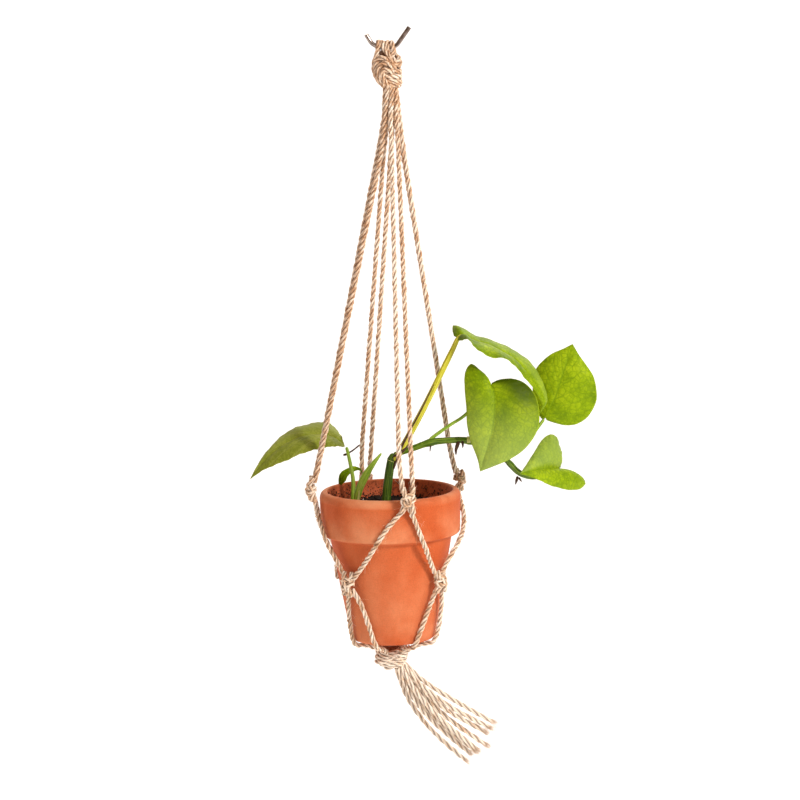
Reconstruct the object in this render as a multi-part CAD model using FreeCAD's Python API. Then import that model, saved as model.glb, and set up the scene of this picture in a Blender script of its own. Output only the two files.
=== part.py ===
import FreeCAD
import Part
import math
import os

# Hanging macrame planter: four jute cords folded over a wire hook, knotted into a cradle
# that holds a terracotta pot with a pothos plant, and ending in a tassel.
#
# Everything is drawn in millimetres about the saddle, the lowest point of the hook's wire.
# +X is to the viewer's right, +Y away from the viewer, +Z up. Each shape is moved as it is
# saved, so that the row's origin is the free end of the hook's shank.

Vector = FreeCAD.Vector

# ---------------------------------------------------------------- driving dimensions

# Hook: round steel wire, a straight saddle between two upward bends.
WIRE_R = 2.0
SADDLE_RIGHT = 4.0
SHANK_BEND_R = 6.0
SHANK_TURN = 55.0
SHANK_STRAIGHT = 18.0
SADDLE_LEFT = 7.0
TIP_BEND_R = 11.0
TIP_TURN = 58.0
TIP_STRAIGHT = 6.5

# Cords: three-ply jute. The four folds are pressed thinner over the wire.
CORD_D = 4.2
FOLD_D = 3.5
FOLD_PITCH = 3.6
FOLD_MIDDLE_X = -1.8
FOLD_LEG = 9.0
STRAND_D = 3.6
CORD_GAP = 0.3

# Knots: spheroids, given by centre, half width and half height.
TOP_KNOT = ((-0.5, 0, -20.5), 14.3, 15.5)
BOTTOM_KNOT = ((2.4, 0, -562.0), 15.5, 10.5)
RIM_KNOT_HALF_WIDTH = 6.0
RIM_KNOT_HALF_HEIGHT = 11.0
LOWER_KNOT_HALF_WIDTH = 6.0
LOWER_KNOT_HALF_HEIGHT = 10.0

# Neck: the bunch of eight strands, from under the top knot to where the strands part.
NECK_TOP = (2.5, 0, -36.4)
NECK_TOP_R = 6.6
NECK_END = (3.6, 0, -65.0)
NECK_END_R = 9.6
NECK_CLEARANCE = 0.5

# Tassel: it bends about this point, just inside the bottom knot, which is hollowed round it.
TASSEL_ROOT = (9.0, 0, -568.0)
TASSEL_ROOT_R = 6.0
TASSEL_HOLLOW_R = 8.0

# Pot: the centre of its rim, its lean, and its profile.
RIM_CENTRE = (1.5, 0, -404.7)
POT_LEAN = 1.2
RIM_R = 65.0
LIP_OUTER_R = 61.0
LIP_DROP = 6.0
RIM_INNER_R = 58.0
BAND_FOOT_R = 64.0
BAND_H = 40.0
BAND_UNDERCUT = 1.5
WALL_TOP_R = 56.5
FOOT_R = 39.0
FOOT_CHAMFER = 2.0
POT_H = 139.0
FLOOR_R = 33.0
FLOOR_T = 8.0
DRAIN_R = 6.5
SOIL_DEPTH = 16.0

LEAF_T = 1.2

# ---------------------------------------------------------------- cord routes, chosen by hand

# Upper cords: neck, spread, foot of the straight stretch, knot.
UPPER_CORDS = {
    "left_a": [(-3.7, 1.3, -66), (-8.2, 0.6, -90), (-63.6, -8.0, -374), (-68.6, -10.0, -396)],
    "left_b": [(-2.5, -4.2, -66), (-5.0, -4.2, -90), (-62.4, -13.6, -374), (-67.4, -15.4, -396)],
    "front_a": [(2.3, -7.3, -66), (3.2, -9.8, -90), (9.9, -62.5, -372), (13.6, -69.5, -396)],
    "front_b": [(7.8, -6.1, -66), (9.2, -8.8, -90), (20.9, -62.0, -370), (22.4, -69.0, -394)],
    "right_a": [(10.9, -1.3, -66), (13.6, -0.4, -90), (57.4, 25.0, -374), (62.6, 28.6, -394)],
    "right_b": [(9.7, 4.2, -66), (12.6, 5.4, -90), (57.8, 30.6, -374), (62.8, 34.0, -394)],
    "back_a": [(-0.6, 6.1, -66), (-3.6, 7.2, -90), (-25.4, 60.8, -378), (-25.2, 66.5, -402)],
    "back_b": [(4.9, 7.3, -66), (2.6, 9.8, -90), (-16.6, 61.0, -378), (-18.6, 66.8, -402)],
}

# Knots and cords that lie against the pot are given in the pot's own round frame:
# azimuth from +X in degrees, distance from the axis, and height above the rim.
RIM_KNOTS = {
    "left": (190.0, 71.6, 3.5),
    "front": (283.3, 71.6, 1.5),
    "right": (27.0, 71.6, 2.0),
    "back": (108.8, 71.6, -8.0),
}
LOWER_KNOTS = {
    "front_left": (226.0, 56.2, -80.0),
    "front_right": (321.0, 56.2, -80.0),
    "back_right": (68.0, 56.2, -81.0),
    "back_left": (145.0, 56.8, -79.0),
}
NET_CORDS = {
    "left_front": [
        (190, 71.4, 0), (192, 68.8, -12), (199, 68.2, -25), (207.5, 67.8, -38), (212, 64.2, -50),
        (216, 58.8, -63), (223, 56.2, -76),
    ],
    "left_back": [
        (190, 71.4, 0), (186, 68.9, -11), (177, 68.3, -23), (167, 67.9, -36), (160, 64.4, -48),
        (153, 59.2, -61), (147, 57.0, -74),
    ],
    "front_left": [
        (283, 71.4, -2), (277, 68.9, -12), (269.5, 68.4, -21), (263.5, 68.1, -31), (257.5, 67.0, -42),
        (250, 62.6, -54), (241, 58.0, -65), (230, 56.4, -76),
    ],
    "front_right": [
        (283, 71.4, -2), (287.5, 68.9, -14), (291.5, 68.4, -26), (295.5, 67.8, -38), (301, 64.2, -50),
        (308.5, 58.9, -63), (317, 56.4, -76),
    ],
    "right_front": [
        (27, 71.4, -2), (22, 68.9, -11), (12, 68.5, -20), (1, 68.2, -29), (-10, 67.7, -39),
        (-20, 64.2, -50), (-30, 59.6, -62), (-38, 56.6, -75),
    ],
    "right_back": [
        (27, 71.4, -2), (31, 68.9, -13), (39, 68.4, -25), (48, 67.8, -38),
        (56, 64.2, -50), (63, 58.9, -63), (68, 56.4, -77),
    ],
    "back_right": [
        (109, 71.4, -12), (105, 68.9, -20), (97, 68.4, -29), (88, 67.6, -39),
        (80, 64.2, -50), (73, 58.9, -63), (68, 56.4, -77),
    ],
    "back_left": [
        (109, 71.4, -12), (113, 68.9, -20), (120, 68.4, -29), (128, 67.6, -39), (134, 64.2, -50),
        (139, 58.9, -63), (142.5, 57.0, -74),
    ],
}
BASE_CORDS = {
    "front_left_a": [
        (225, 56.0, -84), (220.5, 52.4, -96), (215, 48.8, -109), (211.5, 45.8, -122), (210, 43.8, -132),
        (210, 42.4, -140), (209, 37.4, -146), (209, 27.0, -148), (213, 14.0, -151), (216, 5.0, -153.5),
    ],
    "front_left_b": [
        (230, 56.0, -84), (236, 51.6, -97), (240, 48.4, -110), (243, 45.8, -122), (245.5, 43.8, -132),
        (248, 42.2, -140), (249, 37.2, -146.5), (248, 27.0, -150), (245, 14.0, -154), (240, 5.0, -157),
    ],
    "front_right_a": [
        (318, 56.0, -84), (315, 51.8, -97), (310.5, 48.4, -110), (306, 45.8, -122), (302, 43.8, -132),
        (299.5, 42.4, -140), (299, 37.4, -146), (301, 27.0, -148.5), (305, 14.0, -151.5),
        (308, 5.0, -154),
    ],
    "front_right_b": [
        (323.5, 56.0, -84), (332, 51.8, -97), (338, 48.4, -110), (340.5, 45.8, -122),
        (340.5, 43.8, -132), (339, 42.4, -140), (338, 37.4, -146.5), (337, 27.0, -149.5),
        (337, 14.0, -153), (338, 5.0, -156),
    ],
    "back_right_a": [
        (66, 56.0, -85), (60, 51.8, -98), (55, 48.4, -110), (52, 45.8, -122), (51, 43.8, -132),
        (51, 42.4, -140), (51, 37.4, -146.5), (50, 27.0, -149.5), (48, 14.0, -153), (46, 5.0, -156),
    ],
    "back_right_b": [
        (71, 56.0, -85), (77, 51.8, -98), (81, 48.4, -110), (84, 45.8, -122), (85, 43.8, -132),
        (85, 42.4, -140), (85, 37.4, -146), (84, 27.0, -149), (82, 14.0, -152), (80, 5.0, -155),
    ],
    "back_left_a": [
        (142.5, 56.4, -84), (136, 52.0, -97), (130, 48.4, -110), (126, 45.8, -122), (124, 43.8, -132),
        (124, 42.4, -140), (123, 37.4, -146.5), (122, 27.0, -149.5), (121, 14.0, -152.5),
        (120, 5.0, -155),
    ],
    "back_left_b": [
        (148, 56.4, -84), (150.5, 52.2, -97), (151, 48.6, -110), (150.5, 45.8, -122),
        (149.5, 43.8, -132), (148.5, 42.4, -140), (147.5, 37.4, -146), (146, 27.0, -149),
        (142, 14.0, -152), (139, 5.0, -154.5),
    ],
}

# Tassel strands: they leave the knot together and sweep out to the right.
TASSEL_STRANDS = {
    "1": [(14.4, 1.9, -569.1), (26, 3.6, -583), (47.5, 5.5, -599.5), (73, 7, -611.5), (101, 8, -621.5)],
    "2": [(14.4, -1.9, -569.1), (25.5, -4.6, -585), (45.5, -8, -603.5), (70, -11, -619), (96.5, -12, -632)],
    "3": [(12, 4.2, -570.8), (23, 9, -588), (42, 13, -606.5), (65, 16.5, -622.5), (89.5, 18, -636)],
    "4": [(11.2, 0, -571.3), (21.5, 0, -590.5), (39, -1.5, -610.5), (63.5, -1.5, -629.5), (91, -1, -646)],
    "5": [(12, -4.2, -570.8), (22, -10, -590), (39, -15, -609.5), (59.5, -19.5, -627), (81, -22, -643)],
    "6": [(9, 3.4, -572.8), (17.5, 5.5, -594), (33, 8, -616), (56, 9.5, -636), (81.5, 11, -651.5)],
    "7": [(9, -3.4, -572.8), (17, -7, -595.5), (32, -10.5, -618.5), (53, -13, -640), (77, -14.5, -656)],
    "8": [(7.6, 0, -573.7), (14.5, -0.8, -598), (27.5, -1.2, -621.5), (47.5, -1.8, -642.5),
          (71.5, -2, -659.5)],
}

# ---------------------------------------------------------------- plant, chosen by hand

# Stems: points along the middle and the radius at each.
STEMS = {
    "main_stem": [
        ((-3.0, -10, -422.5), 4.0), ((-1.2, -9.5, -405.0), 4.1), ((0.4, -9, -390.0), 4.0),
        ((2.6, -8.5, -376.0), 4.0), ((5.2, -8.5, -370.0), 2.8),
    ],
    "trailing_vine": [
        ((5.0, -8.5, -371.0), 2.2), ((19.0, -8.5, -366.5), 2.7), ((38.0, -8.5, -359.0), 3.2),
        ((54.0, -8.5, -357.5), 2.9), ((72.0, -8, -357.0), 3.0), ((94.0, -3, -364.0), 2.6),
        ((110.0, 4, -378.5), 2.6), ((121.0, 9, -392.0), 2.8), ((139.0, 16, -398.0), 1.9),
        ((156.5, 12, -390.0), 1.6),
    ],
    "petiole_top": [
        ((6.0, -10.5, -376.5), 3.0), ((17.0, -11.5, -357.0), 3.1), ((36.0, -12.5, -320.5), 2.9),
        ((52.0, -14, -287.0), 2.7), ((61.5, -14, -267.5), 2.4),
    ],
    "petiole_left": [
        ((-33.5, 20, -422.0), 2.2), ((-32.0, 21, -405.0), 2.0), ((-34.5, 23, -388.0), 1.7),
        ((-39.0, 24, -369.0), 1.5),
    ],
    "petiole_centre": [
        ((38.0, -8.5, -357.0), 1.7), ((54.0, -9, -344.5), 1.5), ((71.0, -8, -335.0), 1.5),
        ((84.0, -11, -318.0), 1.5), ((90.5, -18, -304.0), 1.4),
    ],
    "petiole_right": [
        ((110.0, 5, -377.5), 1.7), ((124.0, 10, -366.0), 1.6), ((136.0, 11.5, -352.0), 1.5),
        ((143.8, 12, -341.0), 1.4),
    ],
    "young_shoot": [
        ((-31.0, -15, -422.0), 2.2), ((-28.2, -15, -405.0), 3.4), ((-22.0, -14.5, -391.0), 3.6),
        ((-14.5, -13.5, -379.0), 2.4), ((-6.2, -12, -369.0), 0.8),
    ],
}

# Leaves: the midrib from the stalk to the tip, and how far the two halves reach from it
# where the leaf is widest.
LEAVES = {
    "leaf_left": {
        "midrib": [(-41, 24, -366), (-53, 24, -358), (-72, 22, -359), (-98, 19, -372), (-127, 16, -398)],
        "halves": ((2, -24, -10), (-4, 23, 11)),
    },
    "leaf_top": {
        "midrib": [(63, -14, -265.5), (82, -13, -267), (106, -11, -277), (127, -9, -295), (142, -6, -331)],
        "halves": ((-1, -27, -1), (1, 26, 4)),
    },
    "leaf_right": {
        "midrib": [(145, 12, -338.5), (151, 12, -326), (158, 13, -309), (164, 14, -289), (169, 15, -270)],
        "halves": ((-20, 12, -1), (35, 5, 2)),
    },
    "leaf_centre": {
        "midrib": [(91, -20, -304), (95, -24, -320), (97, -27, -342), (93, -29, -365), (84.5, -30, -388)],
        "halves": ((-25, 6, 6), (42, 0, -8)),
    },
    "leaf_lower": {
        "midrib": [(158, 9, -387), (149, -3, -387), (140, -15, -387.5), (130, -28, -388.5), (121, -38, -390)],
        "halves": ((-2, 8, 27), (6, 12, -13)),
    },
    "small_leaf": {
        "midrib": [(-24, 36, -397), (-30, 36, -392), (-36, 36, -392), (-42, 36, -396), (-47, 36, -403)],
        "halves": ((0, -5, 2), (0, 5, 3)),
    },
}

# Outline of a leaf: the place of each row along the midrib, from 0 at the stalk to 1 at the tip,
# the place of its two ends, which lie further back, and the share of the full half width there.
# The first row's ends are the lobes on both sides of the stalk.
LEAF_OUTLINE = [
    (0.0, -0.13, 0.6), (0.1, 0.0, 0.92), (0.24, 0.15, 1.0), (0.42, 0.34, 0.94),
    (0.62, 0.56, 0.7), (0.82, 0.78, 0.36), (1.0, 0.98, 0.03),
]

# ---------------------------------------------------------------- helpers


def to_pot(azimuth, radius, height):
    """The point with these round coordinates in the pot's leaning frame."""
    turn = math.radians(azimuth)
    lean = math.radians(POT_LEAN)
    x = radius * math.cos(turn)
    y = radius * math.sin(turn)
    offset = Vector(
        x * math.cos(lean) - height * math.sin(lean),
        y,
        x * math.sin(lean) + height * math.cos(lean),
    )
    return Vector(*RIM_CENTRE) + offset


def spheroid(centre, half_width, half_height):
    """A ball stretched to a half width across and a half height up, about a centre."""
    stretch = FreeCAD.Matrix()
    stretch.scale(half_width, half_width, half_height)
    ball = Part.makeSphere(1).transformGeometry(stretch)
    ball.translate(Vector(*centre))
    return solid_of(ball)


def solid_of(shape):
    """The largest solid in a shape, facing outwards."""
    solid = max(shape.Solids, key=lambda s: abs(s.Volume))
    if solid.Volume < 0:
        solid.reverse()
    return solid


def route_edges(points, name):
    """Straight runs joined by tangent arcs, each arc as large as its two runs allow."""
    edges = []
    radii = []
    start = points[0]
    for before, corner, after in zip(points, points[1:], points[2:]):
        run_in = corner - before
        run_out = after - corner
        setback = 0.45 * min(run_in.Length, run_out.Length)
        half_turn = run_in.getAngle(run_out) / 2
        radius = setback / math.tan(half_turn)
        run_in.normalize()
        run_out.normalize()
        inwards = run_out - run_in
        inwards.normalize()
        arc_start = corner - run_in * setback
        arc_end = corner + run_out * setback
        arc_middle = corner + inwards * (radius / math.cos(half_turn) - radius)
        edges.append(Part.LineSegment(start, arc_start).toShape())
        edges.append(Part.Arc(arc_start, arc_middle, arc_end).toShape())
        radii.append(radius)
        start = arc_end
    edges.append(Part.LineSegment(start, points[-1]).toShape())
    print(f"{name}: smallest radius {min(radii):.1f}, all " + " ".join(f"{r:.0f}" for r in radii))
    return edges


def tube(points, diameter, name):
    """A round cord along a route. Its volume is compared with its section times its length."""
    wire = Part.Wire(route_edges(points, name))
    heading = points[1] - points[0]
    circle = Part.Circle(points[0], heading, diameter / 2)
    solid = solid_of(wire.makePipeShell([Part.Wire(circle.toShape())], True, False))
    expected = math.pi * diameter**2 / 4 * wire.Length
    print(f"{name}: length {wire.Length:.1f}, volume {solid.Volume / expected:.4f} of expected")
    return solid


def tapered(stations):
    """A round stem through points, with a radius at each."""
    points = [Vector(*point) for point, radius in stations]
    circles = []
    for i, (point, radius) in enumerate(stations):
        before = points[max(i - 1, 0)]
        after = points[min(i + 1, len(points) - 1)]
        circles.append(Part.Wire(Part.Circle(points[i], after - before, radius).toShape()))
    return solid_of(Part.makeLoft(circles, True, False))


def cut_all(shape, tools):
    """What is left of a shape outside all the tools."""
    for tool in tools:
        shape = shape.cut(tool)
    return solid_of(shape)


def along(points, place):
    """The point at a place from 0 to 1 along a polyline, or before its start when negative."""
    runs = [(b - a).Length for a, b in zip(points, points[1:])]
    distance = place * sum(runs)
    if distance < 0:
        heading = points[1] - points[0]
        heading.normalize()
        return points[0] + heading * distance
    for a, b, run in zip(points, points[1:], runs):
        if distance <= run:
            return a + (b - a) * (distance / run)
        distance -= run
    return points[-1]


def leaf(midrib, halves):
    """A thin closed plate: a row of points across the leaf at each station of its outline."""
    points = [Vector(*point) for point in midrib]
    left = Vector(*halves[0])
    right = Vector(*halves[1])
    lift = (points[-1] - points[0]).cross(right - left)
    lift.normalize()
    lift = lift * (LEAF_T / 2)
    rows = []
    for place, end_place, share in LEAF_OUTLINE:
        end = along(points, end_place)
        rows.append([end + left * share, along(points, place), end + right * share])
    upper = [[p + lift for p in row] for row in rows]
    lower = [[p - lift for p in row] for row in rows]
    faces = []
    for side in (upper, lower):
        for row, following in zip(side, side[1:]):
            for i in (0, 1):
                faces += split_quad(row[i], row[i + 1], following[i + 1], following[i])
    for i in (0, 1):
        faces += split_quad(upper[0][i], upper[0][i + 1], lower[0][i + 1], lower[0][i])
        faces += split_quad(upper[-1][i], upper[-1][i + 1], lower[-1][i + 1], lower[-1][i])
    for i in (0, 2):
        for row, following, under, under_following in zip(upper, upper[1:], lower, lower[1:]):
            faces += split_quad(row[i], following[i], under_following[i], under[i])
    return closed_solid(faces)


def split_quad(a, b, c, d):
    """Two flat triangles for four points."""
    return [Part.Face(Part.makePolygon([a, b, c, a])), Part.Face(Part.makePolygon([a, c, d, a]))]


def closed_solid(faces):
    """A solid from faces that share their edges."""
    shell = Part.Shell(faces)
    shell.sewShape()
    return solid_of(Part.Solid(Part.Shell(shell.Faces)))


# ---------------------------------------------------------------- hook


def arm(side, saddle, bend_r, turn, straight):
    """One arm of the hook in the XZ plane: its arc, its straight end, and where it ends."""
    angle = math.radians(turn)
    half = angle / 2

    def on_bend(a):
        x = saddle + bend_r * math.sin(a)
        return Vector(side * x, 0, bend_r * (1 - math.cos(a)))

    bend_end = on_bend(angle)
    heading = Vector(side * math.cos(angle), 0, math.sin(angle))
    end = bend_end + heading * straight
    bend = Part.Arc(on_bend(0), on_bend(half), bend_end).toShape()
    return bend, Part.LineSegment(bend_end, end).toShape(), end


SHANK_BEND, SHANK_LINE, SHANK_END = arm(1, SADDLE_RIGHT, SHANK_BEND_R, SHANK_TURN, SHANK_STRAIGHT)
TIP_BEND, TIP_LINE, _ = arm(-1, SADDLE_LEFT, TIP_BEND_R, TIP_TURN, TIP_STRAIGHT)


def make_hook():
    saddle = Part.LineSegment(Vector(-SADDLE_LEFT, 0, 0), Vector(SADDLE_RIGHT, 0, 0)).toShape()
    edges = [TIP_LINE, TIP_BEND, saddle, SHANK_BEND, SHANK_LINE]
    wire = Part.Wire(Part.__sortEdges__(edges))
    heading = SHANK_END - SHANK_LINE.Vertexes[0].Point
    circle = Part.Wire(Part.Circle(SHANK_END, heading, WIRE_R).toShape())
    return solid_of(wire.makePipeShell([circle], True, False))


# ---------------------------------------------------------------- gathered cords


def make_loop_cords(knot):
    """Four folds side by side over the saddle, their legs ending in the top knot."""
    bend_r = WIRE_R + CORD_GAP + FOLD_D / 2
    folds = []
    for i in range(4):
        x = FOLD_MIDDLE_X + (i - 1.5) * FOLD_PITCH
        front = Vector(x, -bend_r, 0)
        back = Vector(x, bend_r, 0)
        drop = Vector(0, 0, -FOLD_LEG)
        edges = [
            Part.LineSegment(front + drop, front).toShape(),
            Part.Arc(front, Vector(x, 0, bend_r), back).toShape(),
            Part.LineSegment(back, back + drop).toShape(),
        ]
        circle = Part.Wire(Part.Circle(front + drop, Vector(0, 0, 1), FOLD_D / 2).toShape())
        fold = solid_of(Part.Wire(edges).makePipeShell([circle], True, False))
        folds.append(solid_of(fold.cut(knot)))
    return Part.makeCompound(folds)


def make_neck():
    """A bunch that widens downwards and ends in a ball, so that the cradle can sway under it."""
    top = Vector(*NECK_TOP)
    end = Vector(*NECK_END)
    cone = Part.makeCone(NECK_TOP_R, NECK_END_R, (end - top).Length, top, end - top)
    return solid_of(cone.fuse(Part.makeSphere(NECK_END_R, end)).removeSplitter())


# ---------------------------------------------------------------- pot and soil


def inner_radius(depth):
    """Radius of the pot's straight inner wall at a depth below the rim."""
    return RIM_INNER_R - (RIM_INNER_R - FLOOR_R) * depth / (POT_H - FLOOR_T)


def turned(profile):
    """A solid turned from a closed profile of edges about the pot's axis, leaning with it."""
    solid = solid_of(Part.Face(Part.Wire(profile)).revolve(Vector(0, 0, 0), Vector(0, 0, 1), 360))
    solid.rotate(Vector(0, 0, 0), Vector(0, 1, 0), -POT_LEAN)
    solid.translate(Vector(*RIM_CENTRE))
    return solid


def outline(points):
    """Straight edges through (radius, height) points."""
    corners = [Vector(r, 0, z) for r, z in points]
    return [Part.LineSegment(a, b).toShape() for a, b in zip(corners, corners[1:])]


def make_pot():
    below_lip = (RIM_R, -LIP_DROP)
    lip_middle = (RIM_R - 1.0, -2.0)
    lip_top = (LIP_OUTER_R, 0)
    outside = [
        (DRAIN_R, -POT_H),
        (FOOT_R - FOOT_CHAMFER, -POT_H),
        (FOOT_R, -POT_H + FOOT_CHAMFER),
        (WALL_TOP_R, -BAND_H - BAND_UNDERCUT),
        (BAND_FOOT_R - BAND_UNDERCUT, -BAND_H),
        (BAND_FOOT_R, -BAND_H + BAND_UNDERCUT),
        below_lip,
    ]
    inside = [
        lip_top,
        (RIM_INNER_R, 0),
        (FLOOR_R, -POT_H + FLOOR_T),
        (DRAIN_R, -POT_H + FLOOR_T),
        (DRAIN_R, -POT_H),
    ]
    lip = Part.Arc(*[Vector(r, 0, z) for r, z in (below_lip, lip_middle, lip_top)]).toShape()
    return turned(outline(outside) + [lip] + outline(inside))


def make_soil():
    floor = -POT_H + FLOOR_T
    profile = [
        (0, floor),
        (FLOOR_R, floor),
        (inner_radius(SOIL_DEPTH), -SOIL_DEPTH),
        (0, -SOIL_DEPTH),
        (0, floor),
    ]
    return turned(outline(profile))


# ---------------------------------------------------------------- assembly


def save(name, shape):
    """Write one node, moved so that the origin is the free end of the hook's shank."""
    moved = shape.copy()
    moved.translate(-SHANK_END)
    if not moved.isValid():
        print(f"{name}: shape is not valid")
    moved.exportStep(f"parts/{name}.step")


def main():
    os.makedirs("parts", exist_ok=True)
    save("hook", make_hook())

    top_knot = spheroid(*TOP_KNOT)
    save("top_knot", top_knot)
    save("loop_cords", make_loop_cords(top_knot))
    save("neck_cords", make_neck())

    rim_knots = {}
    for place, where in RIM_KNOTS.items():
        rim_knots[place] = spheroid(to_pot(*where), RIM_KNOT_HALF_WIDTH, RIM_KNOT_HALF_HEIGHT)
        save(f"rim_knot_{place}", rim_knots[place])
    lower_knots = {}
    for place, where in LOWER_KNOTS.items():
        lower_knots[place] = spheroid(to_pot(*where), LOWER_KNOT_HALF_WIDTH, LOWER_KNOT_HALF_HEIGHT)
        save(f"lower_knot_{place}", lower_knots[place])
    bottom_knot = spheroid(*BOTTOM_KNOT)
    hollow = Part.makeSphere(TASSEL_HOLLOW_R, Vector(*TASSEL_ROOT))
    save("bottom_knot", cut_all(bottom_knot, [hollow]))

    neck_ball = Part.makeSphere(NECK_END_R + NECK_CLEARANCE, Vector(*NECK_END))
    for place, points in UPPER_CORDS.items():
        name = f"upper_cord_{place}"
        cord = tube([Vector(*p) for p in points], CORD_D, name)
        save(name, cut_all(cord, [neck_ball, rim_knots[place.split("_")[0]]]))

    ends = [*rim_knots.values(), *lower_knots.values()]
    for place, points in NET_CORDS.items():
        name = f"net_cord_{place}"
        cord = tube([to_pot(*p) for p in points], CORD_D, name)
        save(name, cut_all(cord, ends))

    ends = [*lower_knots.values(), bottom_knot]
    for place, points in BASE_CORDS.items():
        name = f"base_cord_{place}"
        cord = tube([to_pot(*p) for p in points], CORD_D, name)
        save(name, cut_all(cord, ends))

    tassel_ball = Part.makeSphere(TASSEL_ROOT_R, Vector(*TASSEL_ROOT))
    for place, points in TASSEL_STRANDS.items():
        name = f"tassel_strand_{place}"
        strand = tube([Vector(*p) for p in points], STRAND_D, name)
        save(name, cut_all(strand, [tassel_ball]))

    save("pot", make_pot())
    soil = make_soil()
    save("soil", soil)
    standing = [soil]
    for name, stations in STEMS.items():
        stem = cut_all(tapered(stations), standing)
        save(name, stem)
        standing.append(stem)
    for name, shape in LEAVES.items():
        save(name, leaf(shape["midrib"], shape["halves"]))


main()
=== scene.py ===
import bpy
import math
import numpy as np
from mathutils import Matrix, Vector


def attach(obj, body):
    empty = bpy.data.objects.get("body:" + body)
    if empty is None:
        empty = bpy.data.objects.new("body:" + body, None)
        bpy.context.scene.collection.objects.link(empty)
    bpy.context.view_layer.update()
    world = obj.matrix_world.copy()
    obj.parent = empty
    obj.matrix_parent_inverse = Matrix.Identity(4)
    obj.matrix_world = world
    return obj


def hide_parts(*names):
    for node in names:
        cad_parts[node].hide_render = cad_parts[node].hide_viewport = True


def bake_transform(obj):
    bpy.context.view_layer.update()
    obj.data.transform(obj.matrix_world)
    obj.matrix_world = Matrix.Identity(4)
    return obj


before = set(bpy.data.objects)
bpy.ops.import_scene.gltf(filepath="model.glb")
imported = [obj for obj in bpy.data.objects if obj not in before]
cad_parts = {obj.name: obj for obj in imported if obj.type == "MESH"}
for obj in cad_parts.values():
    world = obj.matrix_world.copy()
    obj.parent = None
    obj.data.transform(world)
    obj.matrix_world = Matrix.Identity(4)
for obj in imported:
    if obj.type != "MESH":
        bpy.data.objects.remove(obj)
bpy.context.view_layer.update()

# The planter's routes and outlines are given in millimetres about the saddle, the lowest point
# of the hook's wire; row() turns them into the row frame, in metres.
SHANK_END = np.array((19.2393, 0.0, 17.3033))
RIM_CENTRE = (1.5, 0, -404.7)
POT_LEAN = 1.2


def row(points):
    """Saddle millimetres to row metres."""
    return (np.asarray(points, float) - SHANK_END) / 1000


def in_pot(x, y, height):
    """A point of the pot's leaning frame, from the middle of its rim, in saddle millimetres."""
    lean = math.radians(POT_LEAN)
    return (
        RIM_CENTRE[0] + x * math.cos(lean) - height * math.sin(lean),
        RIM_CENTRE[1] + y,
        RIM_CENTRE[2] + x * math.sin(lean) + height * math.cos(lean),
    )


def to_pot(azimuth, radius, height):
    """The same from an azimuth in degrees and a distance from the pot's axis."""
    turn = math.radians(azimuth)
    return in_pot(radius * math.cos(turn), radius * math.sin(turn), height)


# ---------------------------------------------------------------- camera and light

CAMERA_PLACE = (10.81, -2340, 3.2)
CAMERA_DIP = 7.9
CAMERA_LENS = 115.8
CAMERA_FILM = 36
FAR_CLIP = 50

# Colour of the room from the side away from BRIGHT_SIDE to the side towards it.
BRIGHT_SIDE = (0.57, 0.77, 0.28)
WORLD_SHADES = ((0.0, (0.28, 0.130, 0.060)), (0.5, (0.52, 0.45, 0.38)), (1.0, (0.98, 0.97, 0.97)))
# Lamps: place and disc size in metres, energy, colour.
LAMP_TARGET = (0.0, 0.0, -0.42)
LAMPS = {
    "key": ((1.35, -1.55, 0.7), 0.45, 46.0, (1.0, 0.96, 0.91)),
    "fill": ((-0.9, -2.2, 0.3), 1.2, 4.0, (1.0, 0.98, 0.96)),
    "back": ((0.8, 1.8, 0.9), 0.9, 6.0, (1.0, 0.98, 0.95)),
}
# The floor, in metres: level from its near edge to where it sweeps up behind the object.
FLOOR_Z = -1.3
FLOOR_NEAR = -7.0
FLOOR_HALF_WIDTH = 9.0
SWEEP_START = 2.5
SWEEP_RADIUS = 1.8
SWEEP_TOP = 6.0
FLOOR_GREY = 0.82
FLOOR_GLOW = 0.60


def add_camera():
    data = bpy.data.cameras.new("camera")
    data.lens = CAMERA_LENS
    data.sensor_width = CAMERA_FILM
    data.clip_end = FAR_CLIP
    camera = bpy.data.objects.new("camera", data)
    camera.location = row(CAMERA_PLACE)
    camera.rotation_euler = (math.radians(90 - CAMERA_DIP), 0, 0)
    bpy.context.collection.objects.link(camera)
    bpy.context.scene.camera = camera


def add_lamp(name, place, size, energy, colour):
    data = bpy.data.lights.new(name, "AREA")
    data.shape = "DISK"
    data.size = size
    data.energy = energy
    data.color = colour
    lamp = bpy.data.objects.new(name, data)
    lamp.location = place
    lamp.rotation_euler = (Vector(LAMP_TARGET) - Vector(place)).to_track_quat("-Z", "Y").to_euler()
    bpy.context.collection.objects.link(lamp)


def add_world():
    """A pale room, white behind the object and to its right, dim and warm to its left."""
    world = bpy.data.worlds.new("studio")
    world.use_nodes = True
    tree = world.node_tree
    direction = node(tree, "ShaderNodeTexCoord").outputs["Generated"]
    toward = node(tree, "ShaderNodeVectorMath", {0: direction, 1: BRIGHT_SIDE}, operation="DOT_PRODUCT")
    share = node(tree, "ShaderNodeMapRange", {"Value": toward.outputs["Value"], "From Min": -1.0})
    shade = ramp(tree, share.outputs["Result"], WORLD_SHADES)
    tree.links.new(shade, tree.nodes["Background"].inputs["Color"])
    bpy.context.scene.world = world
    bpy.context.scene.view_settings.view_transform = "Standard"


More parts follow.
